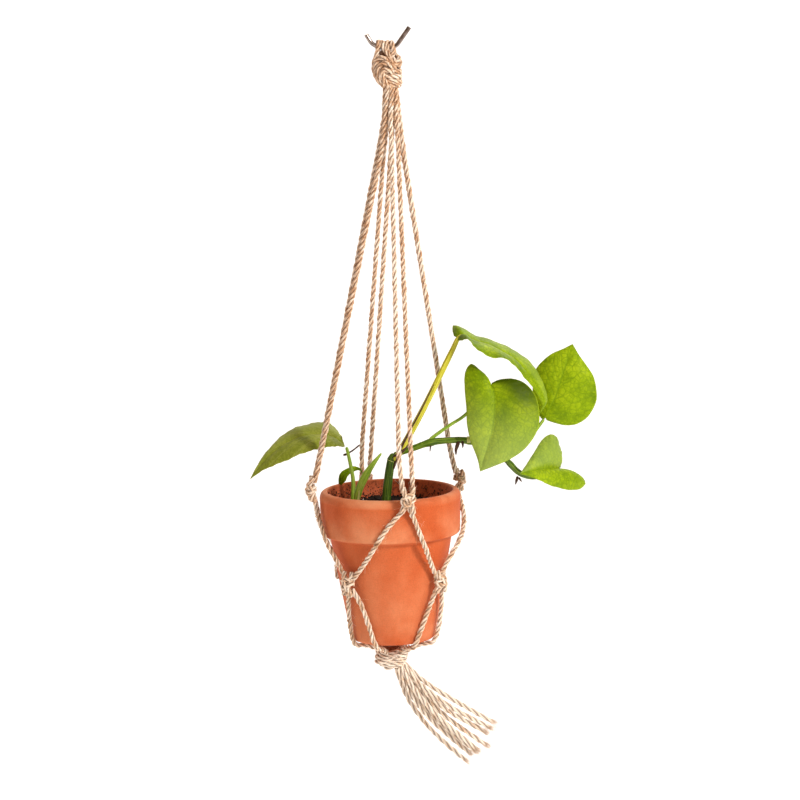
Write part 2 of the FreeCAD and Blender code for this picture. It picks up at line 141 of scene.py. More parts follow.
def add_floor():
    turns = np.linspace(0.1, math.pi / 2, 16)
    centre = FLOOR_Z + SWEEP_RADIUS
    side_line = [(FLOOR_NEAR, FLOOR_Z), (SWEEP_START, FLOOR_Z)]
    for a in turns:
        side_line.append((SWEEP_START + SWEEP_RADIUS * math.sin(a), centre - SWEEP_RADIUS * math.cos(a)))
    side_line += [(SWEEP_START + SWEEP_RADIUS, SWEEP_TOP)]
    verts = [(x, y, z) for y, z in side_line for x in (-FLOOR_HALF_WIDTH, FLOOR_HALF_WIDTH)]
    faces = [(2 * i, 2 * i + 1, 2 * i + 3, 2 * i + 2) for i in range(len(side_line) - 1)]
    mesh = bpy.data.meshes.new("floor")
    mesh.from_pydata(verts, [], faces)
    mesh.polygons.foreach_set("use_smooth", [True] * len(faces))
    floor = bpy.data.objects.new("floor", mesh)
    bpy.context.collection.objects.link(floor)
    paint, _, shader = material("floor_paint")
    settings = {
        "Base Color": (FLOOR_GREY, FLOOR_GREY, FLOOR_GREY, 1), "Roughness": 1.0, "Specular IOR Level": 0.0,
        "Emission Color": (1, 1, 1, 1), "Emission Strength": FLOOR_GLOW,
    }
    for socket, value in settings.items():
        shader.inputs[socket].default_value = value
    mesh.materials.append(paint)


# ---------------------------------------------------------------- routes

# Upper cords: neck, spread, two points of the long straight stretch (24 mm below the spread and
# 22 mm above the foot), foot, knot.
UPPER_CORDS = {
    "left_a": [
        (-3.7, 1.3, -66), (-8.2, 0.6, -90), (-12.9, -0.1, -114.1),
        (-59.2, -7.3, -351.3), (-63.6, -8, -374), (-68.6, -10, -396),
    ],
    "left_b": [
        (-2.5, -4.2, -66), (-5, -4.2, -90), (-9.9, -5, -114.1),
        (-57.8, -12.8, -351.3), (-62.4, -13.6, -374), (-67.4, -15.4, -396),
    ],
    "front_a": [
        (2.3, -7.3, -66), (3.2, -9.8, -90), (3.8, -14.3, -114),
        (9.4, -58.3, -349.4), (9.9, -62.5, -372), (13.6, -69.5, -396),
    ],
    "front_b": [
        (7.8, -6.1, -66), (9.2, -8.8, -90), (10.2, -13.3, -113.8),
        (20, -57.7, -347.6), (20.9, -62, -370), (22.4, -69, -394),
    ],
    "right_a": [
        (10.9, -1.3, -66), (13.6, -0.4, -90), (17.3, 1.8, -114.1),
        (53.9, 23, -351.3), (57.4, 25, -374), (62.6, 28.6, -394),
    ],
    "right_b": [
        (9.7, 4.2, -66), (12.6, 5.4, -90), (16.4, 7.5, -114.1),
        (54.2, 28.6, -351.3), (57.8, 30.6, -374), (62.8, 34, -394),
    ],
    "back_a": [
        (-0.6, 6.1, -66), (-3.6, 7.2, -90), (-5.5, 11.8, -114.5),
        (-23.7, 56.5, -355), (-25.4, 60.8, -378), (-25.2, 66.5, -402),
    ],
    "back_b": [
        (4.9, 7.3, -66), (2.6, 9.8, -90), (1, 14.2, -114.5),
        (-15.1, 56.9, -355), (-16.6, 61, -378), (-18.6, 66.8, -402),
    ],
}

# Where each upper cord's strand runs in the neck: its ring place under the top knot and lower down.
NECK_RING_MIDDLES = ((2.2, 0, -27.0), (2.3, 0, -38.0), (2.9, 0, -52.0))
NECK_RING_RADII = (4.6, 5.0, 6.3)
NECK_TURNS = (34, 24, 10)
NECK_SPLIT_Z = -51.0

# Knots and cords on the pot: azimuth, distance from the pot's axis, height above the rim.
RIM_KNOTS = {
    "left": (190.0, 71.6, 3.5),
    "front": (283.3, 71.6, 1.5),
    "right": (27.0, 71.6, 2.0),
    "back": (108.8, 71.6, -8.0),
}
LOWER_KNOTS = {
    "front_left": (226.0, 56.2, -80.0),
    "front_right": (321.0, 56.2, -80.0),
    "back_right": (68.0, 56.2, -81.0),
    "back_left": (145.0, 56.8, -79.0),
}
NET_CORDS = {
    "left_front": [
        (190, 71.4, 0), (192, 68.8, -12), (199, 68.2, -25), (207.5, 67.8, -38), (212, 64.2, -50),
        (216, 58.8, -63), (223, 56.2, -76),
    ],
    "left_back": [
        (190, 71.4, 0), (186, 68.9, -11), (176, 68.3, -23), (164, 67.9, -36), (154, 64.4, -48),
        (149, 59.2, -61), (146.5, 57.0, -74),
    ],
    "front_left": [
        (283, 71.4, -2), (277, 68.9, -12), (269.5, 68.4, -21), (263.5, 68.1, -31), (257.5, 67.0, -42),
        (250, 62.6, -54), (241, 58.0, -65), (230, 56.4, -76),
    ],
    "front_right": [
        (283, 71.4, -2), (287.5, 68.9, -14), (291.5, 68.4, -26), (295.5, 67.8, -38), (301, 64.2, -50),
        (308.5, 58.9, -63), (317, 56.4, -76),
    ],
    "right_front": [
        (27, 71.4, -2), (22, 68.9, -11), (12, 68.5, -20), (1, 68.2, -29), (-10, 67.7, -39),
        (-20, 64.2, -50), (-30, 59.6, -62), (-38, 56.6, -75),
    ],
    "right_back": [
        (27, 71.4, -2), (31, 68.9, -13), (39, 68.4, -25), (48, 67.8, -38),
        (56, 64.2, -50), (63, 58.9, -63), (68, 56.4, -77),
    ],
    "back_right": [
        (109, 71.4, -12), (105, 68.9, -20), (97, 68.4, -29), (88, 67.6, -39),
        (80, 64.2, -50), (73, 58.9, -63), (68, 56.4, -77),
    ],
    "back_left": [
        (109, 71.4, -12), (113, 68.9, -20), (120, 68.4, -29), (128, 67.6, -39), (134, 64.2, -50),
        (139, 58.9, -63), (142.5, 57.0, -74),
    ],
}
BASE_CORDS = {
    "front_left_a": [
        (225, 56.0, -84), (220.5, 52.4, -96), (215, 48.8, -109), (211.5, 45.8, -122), (210, 43.8, -132),
        (210, 41.8, -138.6), (209, 38.4, -142.4), (209, 27.0, -143.2), (213, 14.0, -149.5),
        (216, 5.0, -153.5),
    ],
    "front_left_b": [
        (230, 56.0, -84), (236, 51.6, -97), (240, 48.4, -110), (243, 45.8, -122), (245.5, 43.8, -132),
        (248, 41.8, -138.6), (249, 38.4, -142.4), (248, 27.0, -144.2), (245, 14.0, -151), (240, 5.0, -157),
    ],
    "front_right_a": [
        (318, 56.0, -84), (315, 51.8, -97), (310.5, 48.4, -110), (306, 45.8, -122), (302, 43.8, -132),
        (299.5, 41.8, -138.6), (299, 38.4, -142.4), (301, 27.0, -143.4), (305, 14.0, -149.8),
        (308, 5.0, -154),
    ],
    "front_right_b": [
        (323.5, 56.0, -84), (332, 51.8, -97), (338, 48.4, -110), (340.5, 45.8, -122),
        (340.5, 43.8, -132), (339, 41.8, -138.6), (338, 38.4, -142.4), (337, 27.0, -143.9),
        (337, 14.0, -150.5), (338, 5.0, -156),
    ],
    "back_right_a": [
        (66, 56.0, -85), (60, 51.8, -98), (55, 48.4, -110), (52, 45.8, -122), (51, 43.8, -132),
        (51, 41.8, -138.6), (51, 38.4, -142.4), (50, 27.0, -143.9), (48, 14.0, -150.5), (46, 5.0, -156),
    ],
    "back_right_b": [
        (71, 56.0, -85), (77, 51.8, -98), (81, 48.4, -110), (84, 45.8, -122), (85, 43.8, -132),
        (85, 41.8, -138.6), (85, 38.4, -142.4), (84, 27.0, -143.7), (82, 14.0, -150), (80, 5.0, -155),
    ],
    "back_left_a": [
        (142.5, 56.4, -84), (136, 52.0, -97), (130, 48.4, -110), (126, 45.8, -122), (124, 43.8, -132),
        (124, 41.8, -138.6), (123, 38.4, -142.4), (122, 27.0, -143.9), (121, 14.0, -150.2),
        (120, 5.0, -155),
    ],
    "back_left_b": [
        (148, 56.4, -84), (150.5, 52.2, -97), (151, 48.6, -110), (150.5, 45.8, -122),
        (149.5, 43.8, -132), (148.5, 41.8, -138.6), (147.5, 38.4, -142.4), (146, 27.0, -143.7),
        (142, 14.0, -150), (139, 5.0, -154.5),
    ],
}

# Tassel strands: they leave the knot together and sweep out to the right.
TASSEL_STRANDS = {
    "1": [
        (14.4, 1.9, -569.1), (26.5, 3.6, -582.0), (44.5, 5.5, -595.5), (70.0, 7, -611.5),
        (97.5, 8, -627.0),
    ],
    "2": [
        (14.4, -1.9, -569.1), (25.0, -4.6, -584.5), (43.5, -8, -599.0), (67.5, -11, -614.0),
        (93.5, -12, -627.0),
    ],
    "3": [
        (12.0, 4.2, -570.8), (23.0, 9, -588.5), (42.0, 13, -608.0), (65.5, 16.5, -625.5),
        (90.5, 18, -639.0),
    ],
    "4": [
        (11.2, 0, -571.3), (22.0, 0, -589.5), (39.5, -1.5, -607.0), (63.0, -1.5, -628.0),
        (91.0, -1, -646.5),
    ],
    "5": [
        (12.0, -4.2, -570.8), (21.5, -10, -589.0), (37.5, -15, -607.0), (58.5, -19.5, -627.0),
        (81.5, -22, -644.5),
    ],
    "6": [
        (9.0, 3.4, -572.8), (19.0, 5.5, -593.5), (35.5, 8, -615.0), (57.5, 9.5, -637.0),
        (81.0, 11, -655.5),
    ],
    "7": [
        (9.0, -3.4, -572.8), (18.0, -7, -593.0), (33.5, -10.5, -614.0), (53.5, -13, -633.0),
        (75.5, -14.5, -650.5),
    ],
    "8": [
        (7.6, 0, -573.7), (13.5, -0.8, -594.0), (26.0, -1.2, -615.5), (46.5, -1.8, -640.0),
        (72.0, -2, -661.0),
    ],
}

# Stems: points along the middle and the radius at each.
STEMS = {
    "main_stem": [
        ((-3.0, -10, -422.5), 4.0), ((-1.2, -9.5, -405.0), 4.1), ((0.4, -9, -390.0), 4.0),
        ((2.6, -8.5, -376.0), 4.0), ((5.2, -8.5, -370.0), 2.8),
    ],
    "trailing_vine": [
        ((5.0, -8.5, -371.0), 2.2), ((19.0, -8.5, -366.5), 2.7), ((38.0, -8.5, -359.0), 3.2),
        ((54.0, -8.5, -357.5), 2.9), ((72.0, -8, -357.0), 3.0), ((94.0, -3, -364.0), 2.6),
        ((110.0, 4, -378.5), 2.6), ((121.0, 9, -392.0), 2.8), ((139.0, 16, -398.0), 1.9),
        ((156.5, 12, -390.0), 1.6),
    ],
    "petiole_top": [
        ((6.0, -10.5, -376.5), 3.0), ((17.0, -11.5, -357.0), 3.1), ((36.0, -12.5, -320.5), 2.9),
        ((52.0, -14, -287.0), 2.7), ((60.5, -14, -269.5), 2.4), ((63.0, -14.4, -263.0), 2.2),
        ((67.0, -14.2, -259.6), 1.2),
    ],
    "petiole_left": [
        ((-33.5, 20, -422.0), 2.2), ((-32.0, 21, -405.0), 2.0), ((-34.5, 23, -388.0), 1.7),
        ((-39.0, 24, -369.0), 1.5),
    ],
    "petiole_centre": [
        ((38.0, -8.5, -357.0), 1.7), ((54.0, -9, -344.5), 1.5), ((71.0, -8, -335.0), 1.5),
        ((84.0, -11, -318.0), 1.5), ((90.5, -18, -304.0), 1.4),
    ],
    "petiole_right": [
        ((110.0, 5, -377.5), 1.7), ((124.0, 10, -366.0), 1.6), ((136.0, 11.5, -352.0), 1.5),
        ((143.8, 12, -341.0), 1.4),
    ],
    "young_shoot": [
        ((-31.0, -15, -422.0), 2.2), ((-28.2, -15, -405.0), 3.4), ((-22.0, -14.5, -391.0), 3.6),
        ((-14.5, -13.5, -379.0), 2.4), ((-6.2, -12, -369.0), 0.8),
    ],
}

# Leaves: rows across, from the stalk to the tip, each with the near or left edge, the midrib and
# the other edge.
LEAVES = {
    "leaf_left": [
        ((-40.3, 23, -368.3), (-40.8, 24, -367.5), (-42.7, 28, -360.2)),
        ((-46.2, 8, -366.4), (-45.0, 24, -363.8), (-44.9, 36, -358.7)),
        ((-54.6, 2, -365.8), (-51.5, 24, -359.6), (-51.0, 44, -352.5)),
        ((-65.5, -2, -366.7), (-61.6, 23, -357.0), (-59.9, 46, -349.2)),
        ((-76.6, -2, -370.7), (-73.7, 21.5, -357.3), (-71.6, 44, -349.1)),
        ((-90.5, 0, -376.2), (-86.6, 19, -360.7), (-84.5, 38, -352.2)),
        ((-104.6, 5, -382.6), (-101.4, 17.5, -368.9), (-98.2, 31, -358.9)),
        ((-117.0, 11, -389.9), (-115.3, 16.5, -381.4), (-111.9, 23, -370.7)),
        ((-125.1, 14.5, -395.2), (-123.7, 16, -391.2), (-121.5, 18, -384.9)),
        ((-128.4, 16, -397.8), (-128.4, 16, -397.8), (-128.4, 16, -397.8)),
    ],
    "leaf_top": [
        ((63.1, -16, -264.2), (62.7, -14, -262.6), (59.8, -10, -261.7)),
        ((67.4, -26, -263.4), (64.9, -14, -260.3), (58.7, 0, -257.3)),
        ((71.0, -34, -261.8), (68.1, -14, -259.7), (59.8, 8, -253.1)),
        ((75.6, -39, -265.6), (73.6, -14, -263.6), (65.5, 14, -255.8)),
        ((82.8, -40, -271.3), (81.8, -13.5, -266.1), (76.2, 15, -264.1)),
        ((93.4, -38, -277.6), (92.7, -13, -269.0), (88.1, 14, -266.6)),
        ((105.6, -35, -279.9), (103.7, -12, -275.7), (98.2, 13, -269.0)),
        ((114.8, -30, -286.3), (113.8, -11, -281.6), (112.0, 11, -274.9)),
        ((123.3, -24, -296.2), (125.8, -9.5, -293.5), (126.7, 9, -285.0)),
        ((131.0, -18, -307.1), (135.6, -8, -306.6), (138.5, 5, -297.6)),
        ((137.6, -12, -317.5), (141.7, -7, -317.3), (144.6, 0, -312.2)),
        ((141.2, -8, -324.6), (143.2, -6, -324.8), (145.6, -3, -322.5)),
        ((139.1, -6, -332.7), (139.4, -6, -332.7), (139.6, -6, -332.7)),
    ],
    "leaf_right": [
        ((143.8, 12, -341.4), (145.0, 12, -339.8), (146.3, 12, -342.1)),
        ((141.6, 14, -340.7), (146.1, 12, -336.7), (155.7, 13, -345.3)),
        ((139.0, 17, -336.9), (147.9, 12.3, -333.5), (165.0, 14.5, -347.3)),
        ((135.8, 20, -329.4), (150.2, 12.6, -328.8), (175.1, 16, -345.8)),
        ((134.0, 22, -318.9), (153.9, 13, -321.0), (184.8, 17, -339.3)),
        ((134.0, 22.5, -307.3), (157.1, 13.5, -312.2), (191.8, 17.5, -327.2)),
        ((136.6, 22, -295.6), (160.2, 14, -302.0), (192.6, 18, -316.1)),
        ((143.2, 20.5, -287.3), (163.4, 14.4, -292.8), (189.6, 18, -302.1)),
        ((151.6, 18.5, -280.5), (166.1, 14.7, -284.0), (182.8, 17.3, -291.3)),
        ((160.6, 16.5, -276.3), (168.2, 15, -277.1), (175.9, 16.3, -281.7)),
        ((169.7, 15, -271.5), (169.8, 15, -271.5), (169.9, 15, -271.5)),
    ],
    "leaf_centre": [
        ((91.6, -18, -304.5), (93.4, -20, -305.3), (94.5, -19, -302.9)),
        ((86.2, -16, -299.3), (93.9, -20.5, -306.4), (101.8, -18, -300.0)),
        ((81.9, -13.5, -290.2), (94.6, -21, -307.8), (112.5, -17.5, -299.4)),
        ((76.0, -13, -286.4), (95.3, -22, -309.7), (123.2, -18, -302.8)),
        ((71.5, -13.5, -290.7), (96.2, -23, -313.3), (130.9, -19.5, -309.8)),
        ((69.5, -15, -299.2), (96.8, -24.5, -318.6), (135.6, -21.5, -318.1)),
        ((69.8, -17, -311.8), (96.7, -26, -326.2), (137.5, -24.5, -330.0)),
        ((71.1, -20, -326.1), (96.0, -27.3, -334.7), (136.8, -27, -341.6)),
        ((71.8, -23, -340.4), (94.6, -28.3, -344.2), (132.1, -29, -352.3)),
        ((74.5, -26, -354.2), (92.0, -29, -354.2), (122.6, -30, -363.7)),
        ((78.4, -28, -364.3), (88.8, -29.6, -365.1), (109.4, -31, -372.3)),
        ((81.6, -29.4, -373.0), (86.1, -30, -373.8), (96.3, -31, -378.0)),
        ((83.6, -30, -383.1), (83.8, -30, -383.1), (84.1, -30, -382.9)),
    ],
    "leaf_lower": [
        ((159.5, 9.5, -385.7), (158.2, 9, -386.4), (160.7, 10, -387.6)),
        ((160.8, 13, -379.4), (156.3, 6, -385.9), (166.8, 17, -392.9)),
        ((160.5, 15, -371.3), (153.6, 3, -385.3), (174.4, 19, -396.4)),
        ((157.9, 15.5, -362.5), (150.4, 0, -384.8), (181.8, 19, -399.0)),
        ((153.8, 15, -356.9), (146.9, -4, -384.2), (183.0, 16, -402.5)),
        ((148.1, 12, -355.7), (143.0, -9, -383.6), (177.1, 10, -406.4)),
        ((142.4, 7, -359.0), (139.0, -14, -383.4), (165.9, 2, -405.7)),
        ((136.7, -1, -365.0), (134.7, -20, -383.1), (153.7, -8, -400.9)),
        ((131.0, -13, -372.1), (129.2, -27, -383.1), (140.2, -20, -394.1)),
        ((125.1, -26, -378.4), (124.4, -33, -383.2), (129.1, -31, -387.6)),
        ((119.6, -38, -383.5), (119.7, -38, -383.6), (119.9, -38, -383.8)),
    ],
    "small_leaf": [
        ((-23.3, 35, -396.7), (-24.3, 36, -395.0), (-25.7, 37, -391.5)),
        ((-27.5, 34, -392.6), (-28.0, 36, -391.5), (-29.0, 38, -390.0)),
        ((-32.6, 33, -393.7), (-33.2, 36, -391.7), (-33.7, 38, -389.4)),
        ((-37.8, 33, -397.8), (-38.8, 36, -394.1), (-39.8, 38, -391.9)),
        ((-40.6, 34, -403.2), (-42.4, 36, -398.1), (-44.4, 38, -395.1)),
        ((-43.9, 35, -406.7), (-45.2, 36, -403.1), (-46.7, 37, -399.9)),
        ((-46.3, 36, -409.7), (-46.4, 36, -409.7), (-46.5, 36, -409.7)),
    ],
}


# ---------------------------------------------------------------- mesh building

# A laid rope: its lay is the length of one turn, in diameters; its plies' offset and radius are
# shares of its diameter, and its fullness is how far they stand proud.
PLIES = 3
ROPE_SIDES = 24
ROPE_STEP = 0.0008
ROPE_LAY = 4.7
ROPE_FULLNESS = 1.12
PLY_OFFSET = 0.255
PLY_RADIUS = 0.245
TAPER_LENGTH = 0.008
# Stray fibres: their usual half widths, and the half widths and lengths of the few long ones.
FIBRE_WIDTHS = (0.000035, 0.00006)
STRAY_WIDTHS = (0.00008, 0.00013)
STRAY_LENGTHS = (0.004, 0.0105)
# A leaf's side veins leave the midrib at a slant; both the mesh and the paint follow them.
VEIN_SLANT = 0.34
VEIN_BEND = 0.8
LEAF_ROWS = 110
LEAF_HALF_COLUMNS = 22
LEAF_THICKNESS = 0.0006
FULL_TURN = 2 * math.pi


def part(points, quads=None, tris=None, uv_quads=None, uv_tris=None, **values):
    """What make_object joins: points, quads, tris, their uvs, and values per point."""
    quads = np.zeros((0, 4), int) if quads is None else quads
    tris = np.zeros((0, 3), int) if tris is None else tris
    return {
        "points": points.reshape(-1, 3), "quads": quads, "tris": tris,
        "uv_quads": np.zeros((len(quads), 4, 2)) if uv_quads is None else uv_quads,
        "uv_tris": np.zeros((len(tris), 3, 2)) if uv_tris is None else uv_tris,
        "values": values,
    }


def make_object(name, parts, material):
    """One mesh object from parts."""
    points = np.concatenate([p["points"] for p in parts])
    quads, tris, offset = [], [], 0
    for p in parts:
        quads.append(p["quads"] + offset)
        tris.append(p["tris"] + offset)
        offset += len(p["points"])
    quads = np.concatenate(quads)
    tris = np.concatenate(tris)
    uv = np.concatenate([p[key].reshape(-1, 2) for key in ("uv_quads", "uv_tris") for p in parts])
    mesh = bpy.data.meshes.new(name)
    mesh.vertices.add(len(points))
    mesh.vertices.foreach_set("co", points.astype(np.float32).ravel())
    mesh.loops.add(4 * len(quads) + 3 * len(tris))
    corners = np.concatenate([quads.ravel(), tris.ravel()])
    mesh.loops.foreach_set("vertex_index", corners.astype(np.int32))
    mesh.polygons.add(len(quads) + len(tris))
    starts = np.concatenate([np.arange(len(quads)) * 4, 4 * len(quads) + np.arange(len(tris)) * 3])
    mesh.polygons.foreach_set("loop_start", starts.astype(np.int32))
    mesh.polygons.foreach_set("use_smooth", np.ones(len(starts), bool))
    mesh.uv_layers.new(name="UVMap").data.foreach_set("uv", uv.astype(np.float32).ravel())
    for key in parts[0]["values"]:
        values = np.concatenate([p["values"][key] for p in parts])
        layer = mesh.attributes.new(key, "FLOAT", "POINT")
        layer.data.foreach_set("value", values.astype(np.float32))
    mesh.update(calc_edges=True)
    mesh.validate()
    mesh.materials.append(material)
    piece = bpy.data.objects.new(name, mesh)
    bpy.context.collection.objects.link(piece)
    return piece


def spline_line(points):
    """Points of the smooth spline that has these row points as its control points."""
    curve = bpy.data.curves.new("route", "CURVE")
    curve.dimensions = "3D"
    curve.resolution_u = 16
    spline = curve.splines.new("NURBS")
    spline.points.add(len(points) - 1)
    for control, place in zip(spline.points, points):
        control.co = (*place, 1)
    spline.order_u = 3
    spline.use_endpoint_u = True
    holder = bpy.data.objects.new("route", curve)
    mesh = bpy.data.meshes.new_from_object(holder)
    line = np.array([v.co for v in mesh.vertices], float)
    bpy.data.objects.remove(holder)
    bpy.data.curves.remove(curve)
    bpy.data.meshes.remove(mesh)
    return line


def resample(line, step):
    """Evenly spaced points along a line, and their distances along it."""
    runs = np.linalg.norm(np.diff(line, axis=0), axis=1)
    at = np.concatenate([[0], np.cumsum(runs)])
    places = np.linspace(0, at[-1], max(4, int(round(at[-1] / step)) + 1))
    return np.stack([np.interp(places, at, line[:, i]) for i in range(3)], 1), places


def unit(vectors):
    return vectors / np.linalg.norm(vectors, axis=-1)[..., None]


def outward(angle, normal, side):
    """The direction at an angle round a line that has these normals and sides."""
    return np.cos(angle)[..., None] * normal + np.sin(angle)[..., None] * side


def frames(line):
    """Unit tangent, normal and side along a line, turning as little as they can."""
    tangent = unit(np.gradient(line, axis=0))
    normal = np.zeros_like(line)
    start = np.cross(tangent[0], (0.31, 0.9, 0.12))
    normal[0] = start / np.linalg.norm(start)
    for i in range(1, len(line)):
        step = normal[i - 1] - tangent[i] * np.dot(normal[i - 1], tangent[i])
        normal[i] = step / np.linalg.norm(step)
    return tangent, normal, np.cross(tangent, normal)


def ripple(places, length, rng):
    """Smooth random numbers between about -1 and 1 that change over a length."""
    total = np.zeros(len(places))
    for share, size in ((1.0, 0.6), (0.43, 0.3), (0.19, 0.2)):
        total += size * np.sin(FULL_TURN * places / (length * share) + rng.uniform(0, 6.28))
    return total


def tube_faces(rings, sides):
    """Quads round a tube, and the triangles of its two ends, whose middles are the last two points."""
    ring = np.arange(rings - 1)[:, None] * sides
    j = np.arange(sides)[None, :]
    following = (j + 1) % sides
    quads = np.stack([ring + j, ring + following, ring + sides + following, ring + sides + j], 2)
    first, last = rings * sides, rings * sides + 1
    top = (rings - 1) * sides
    j, following = j[0], following[0]
    tris = np.concatenate([
        np.stack([np.full(sides, first), following, j], 1),
        np.stack([np.full(sides, last), top + j, top + following], 1),
    ])
    return quads.reshape(-1, 4), tris


def tube_uv(rings, sides, around, places):
    """UVs in metres: distance round the tube, then distance along it."""
    u = np.arange(sides + 1) / sides
    j = np.arange(sides)
    low, high = u[j], u[j + 1]
    uv = np.zeros((rings - 1, sides, 4, 2))
    for corner, (across, row_step) in enumerate(((low, 0), (high, 0), (high, 1), (low, 1))):
        uv[:, :, corner, 0] = across[None, :] * around
        uv[:, :, corner, 1] = places[row_step: rings - 1 + row_step, None]
    ends = np.zeros((2 * sides, 3, 2))
    ends[:, :, 0] = np.tile(low * around, 2)[:, None]
    ends[:sides, :, 1] = places[0]
    ends[sides:, :, 1] = places[-1]
    return uv.reshape(-1, 4, 2), ends


def rope_part(line, diameter, rng, thin_end=0.0, lay=ROPE_LAY, fullness=ROPE_FULLNESS, pale=0.0):
    """A laid three-ply rope along a line; thin_end is how much its end thins, and pale how much paler its
    tone is.
    """
    line, places = resample(line, ROPE_STEP)
    tangent, normal, side = frames(line)
    rings = len(line)
    third = FULL_TURN / PLIES
    angle = np.arange(ROPE_SIDES) / ROPE_SIDES * FULL_TURN + third / 2
    off = (angle + third / 2) % third - third / 2
    lobe = PLY_OFFSET * np.cos(off) + np.sqrt(PLY_RADIUS**2 - (PLY_OFFSET * np.sin(off)) ** 2)
    # How far each side lies down between the plies; the jute material darkens it there as painted shade.
    groove = (0.5 - lobe) / (0.5 - lobe.min())
    ply = (np.arange(ROPE_SIDES) * PLIES) // ROPE_SIDES
    turns = places / (lay * diameter) + 0.06 * ripple(places, 0.045, rng)
    turn = FULL_TURN * turns + rng.uniform(0, 6.28)
    ply_size = np.stack([1 + 0.11 * ripple(places, 0.019, rng) for _ in range(PLIES)], 1)[:, ply]
    size = 1 + 0.04 * ripple(places, 0.05, rng)
    rough = rng.normal(0, 0.026, (rings, ROPE_SIDES))
    radius = fullness * diameter * lobe[None, :] * (ply_size * size[:, None] + rough)
    if thin_end:
        left = np.clip((places[-1] - places) / TAPER_LENGTH, 0, 1)
        radius *= (1 - thin_end * (1 - left) ** 1.5)[:, None]
    around = angle[None, :] + turn[:, None]
    points = line[:, None, :] + radius[..., None] * outward(around, normal[:, None, :], side[:, None, :])
    ends = line[[0, -1]] + tangent[[0, -1]] * diameter * 0.12 * np.array([[-1], [1]])
    quads, tris = tube_faces(rings, ROPE_SIDES)
    uv_quads, uv_tris = tube_uv(rings, ROPE_SIDES, np.pi * diameter, places + rng.uniform(0, 5))
    tones = np.stack([rng.uniform(0.2, 0.8) + 0.35 * ripple(places, 0.014, rng) for _ in range(PLIES)], 1)
    return part(
        np.concatenate([points.reshape(-1, 3), ends]), quads, tris, uv_quads, uv_tris,
        groove=np.concatenate([np.tile(groove, rings), [1, 1]]),
        tone=np.concatenate([pale + tones[:, ply].ravel(), [0.4, 0.4]]),
        dark=np.zeros(rings * ROPE_SIDES + 2),
    )


def fibre_part(starts, headings, bends, lengths, widths, rng):
    """Loose fibres: each a thin three-sided hair from its start, along its heading, curving by its bend."""
    count, stations, sides = len(starts), 5, 3
    t = np.linspace(0, 1, stations)
    reach = headings[:, None, :] * t[None, :, None] + bends[:, None, :] * (t**2)[None, :, None]
    middle = starts[:, None, :] + lengths[:, None, None] * reach
    one = unit(np.cross(headings, rng.normal(size=(count, 3))))
    two = np.cross(headings, one)
    thin = widths[:, None] * (1 - 0.6 * t[None, :])
    angle = np.arange(sides) / sides * FULL_TURN
    around = outward(angle[None, :], one[:, None, :], two[:, None, :])
    points = middle[:, :, None, :] + thin[:, :, None, None] * around[:, None, :, :]
    j = np.arange(sides)
    following = (j + 1) % sides
    step = np.arange(stations - 1)[:, None] * sides
    quads = np.stack([step + j, step + following, step + sides + following, step + sides + j], 2)
    tris = np.array([[0, 2, 1], (stations - 1) * sides + j])
    base = np.arange(count)[:, None, None] * stations * sides
    return part(
        points, (quads.reshape(1, -1, 4) + base).reshape(-1, 4), (tris[None] + base).reshape(-1, 3),
        tone=np.repeat(rng.uniform(0, 1, count), stations * sides),
    )


def fuzz_part(line, diameter, rng, per_mm=0.8, long_share=0.06):
    """Short and a few long stray fibres standing off a rope."""
    line, places = resample(line, 0.001)
    tangent, normal, side = frames(line)
    count = max(3, int(places[-1] * 1000 * per_mm))
    at = rng.integers(0, len(line), count)
    around = rng.uniform(0, 2 * np.pi, count)
    out = outward(around, normal[at], side[at])
    lean = rng.choice((-1, 1), count) * rng.uniform(0.5, 2.2, count)
    rise = rng.uniform(0.35, 1.0, count)
    headings = unit(out * rise[:, None] + tangent[at] * lean[:, None] + rng.normal(0, 0.15, (count, 3)))
    bends = rng.normal(0, 0.3, (count, 3)) + (0, 0, -0.12)
    lengths = 0.0009 + rng.exponential(0.0013, count)
    widths = rng.uniform(*FIBRE_WIDTHS, count)
    stray = rng.uniform(0, 1, count) < long_share
    lengths[stray] = rng.uniform(*STRAY_LENGTHS, stray.sum())
    widths[stray] = rng.uniform(*STRAY_WIDTHS, stray.sum())
    starts = line[at] + out * diameter * 0.42
    return fibre_part(starts, headings, bends, np.minimum(lengths, STRAY_LENGTHS[1]), widths, rng)


def brush_part(line, diameter, rng, count=90, reach=0.009):
    """The frayed end of a rope: fibres fanning out past its last few millimetres."""
    line, _ = resample(line, 0.0005)
    tangent, normal, side = frames(line)
    at = len(line) - 1 - rng.integers(0, 12, count)
    around = rng.uniform(0, 2 * np.pi, count)
    out = outward(around, normal[at], side[at])
    offset = np.sqrt(rng.uniform(0, 1, count)) * 0.42
    fan = out * (offset * rng.uniform(0.1, 0.9, count))[:, None]
    headings = unit(tangent[at] + fan + rng.normal(0, 0.05, (count, 3)))
    bends = out * rng.uniform(-0.1, 0.25, count)[:, None] + rng.normal(0, 0.08, (count, 3))
    lengths = rng.uniform(0.45, 1.0, count) * reach
    widths = rng.uniform(0.00007, STRAY_WIDTHS[1], count)
    return fibre_part(line[at] + out * (offset * diameter)[:, None], headings, bends, lengths, widths, rng)


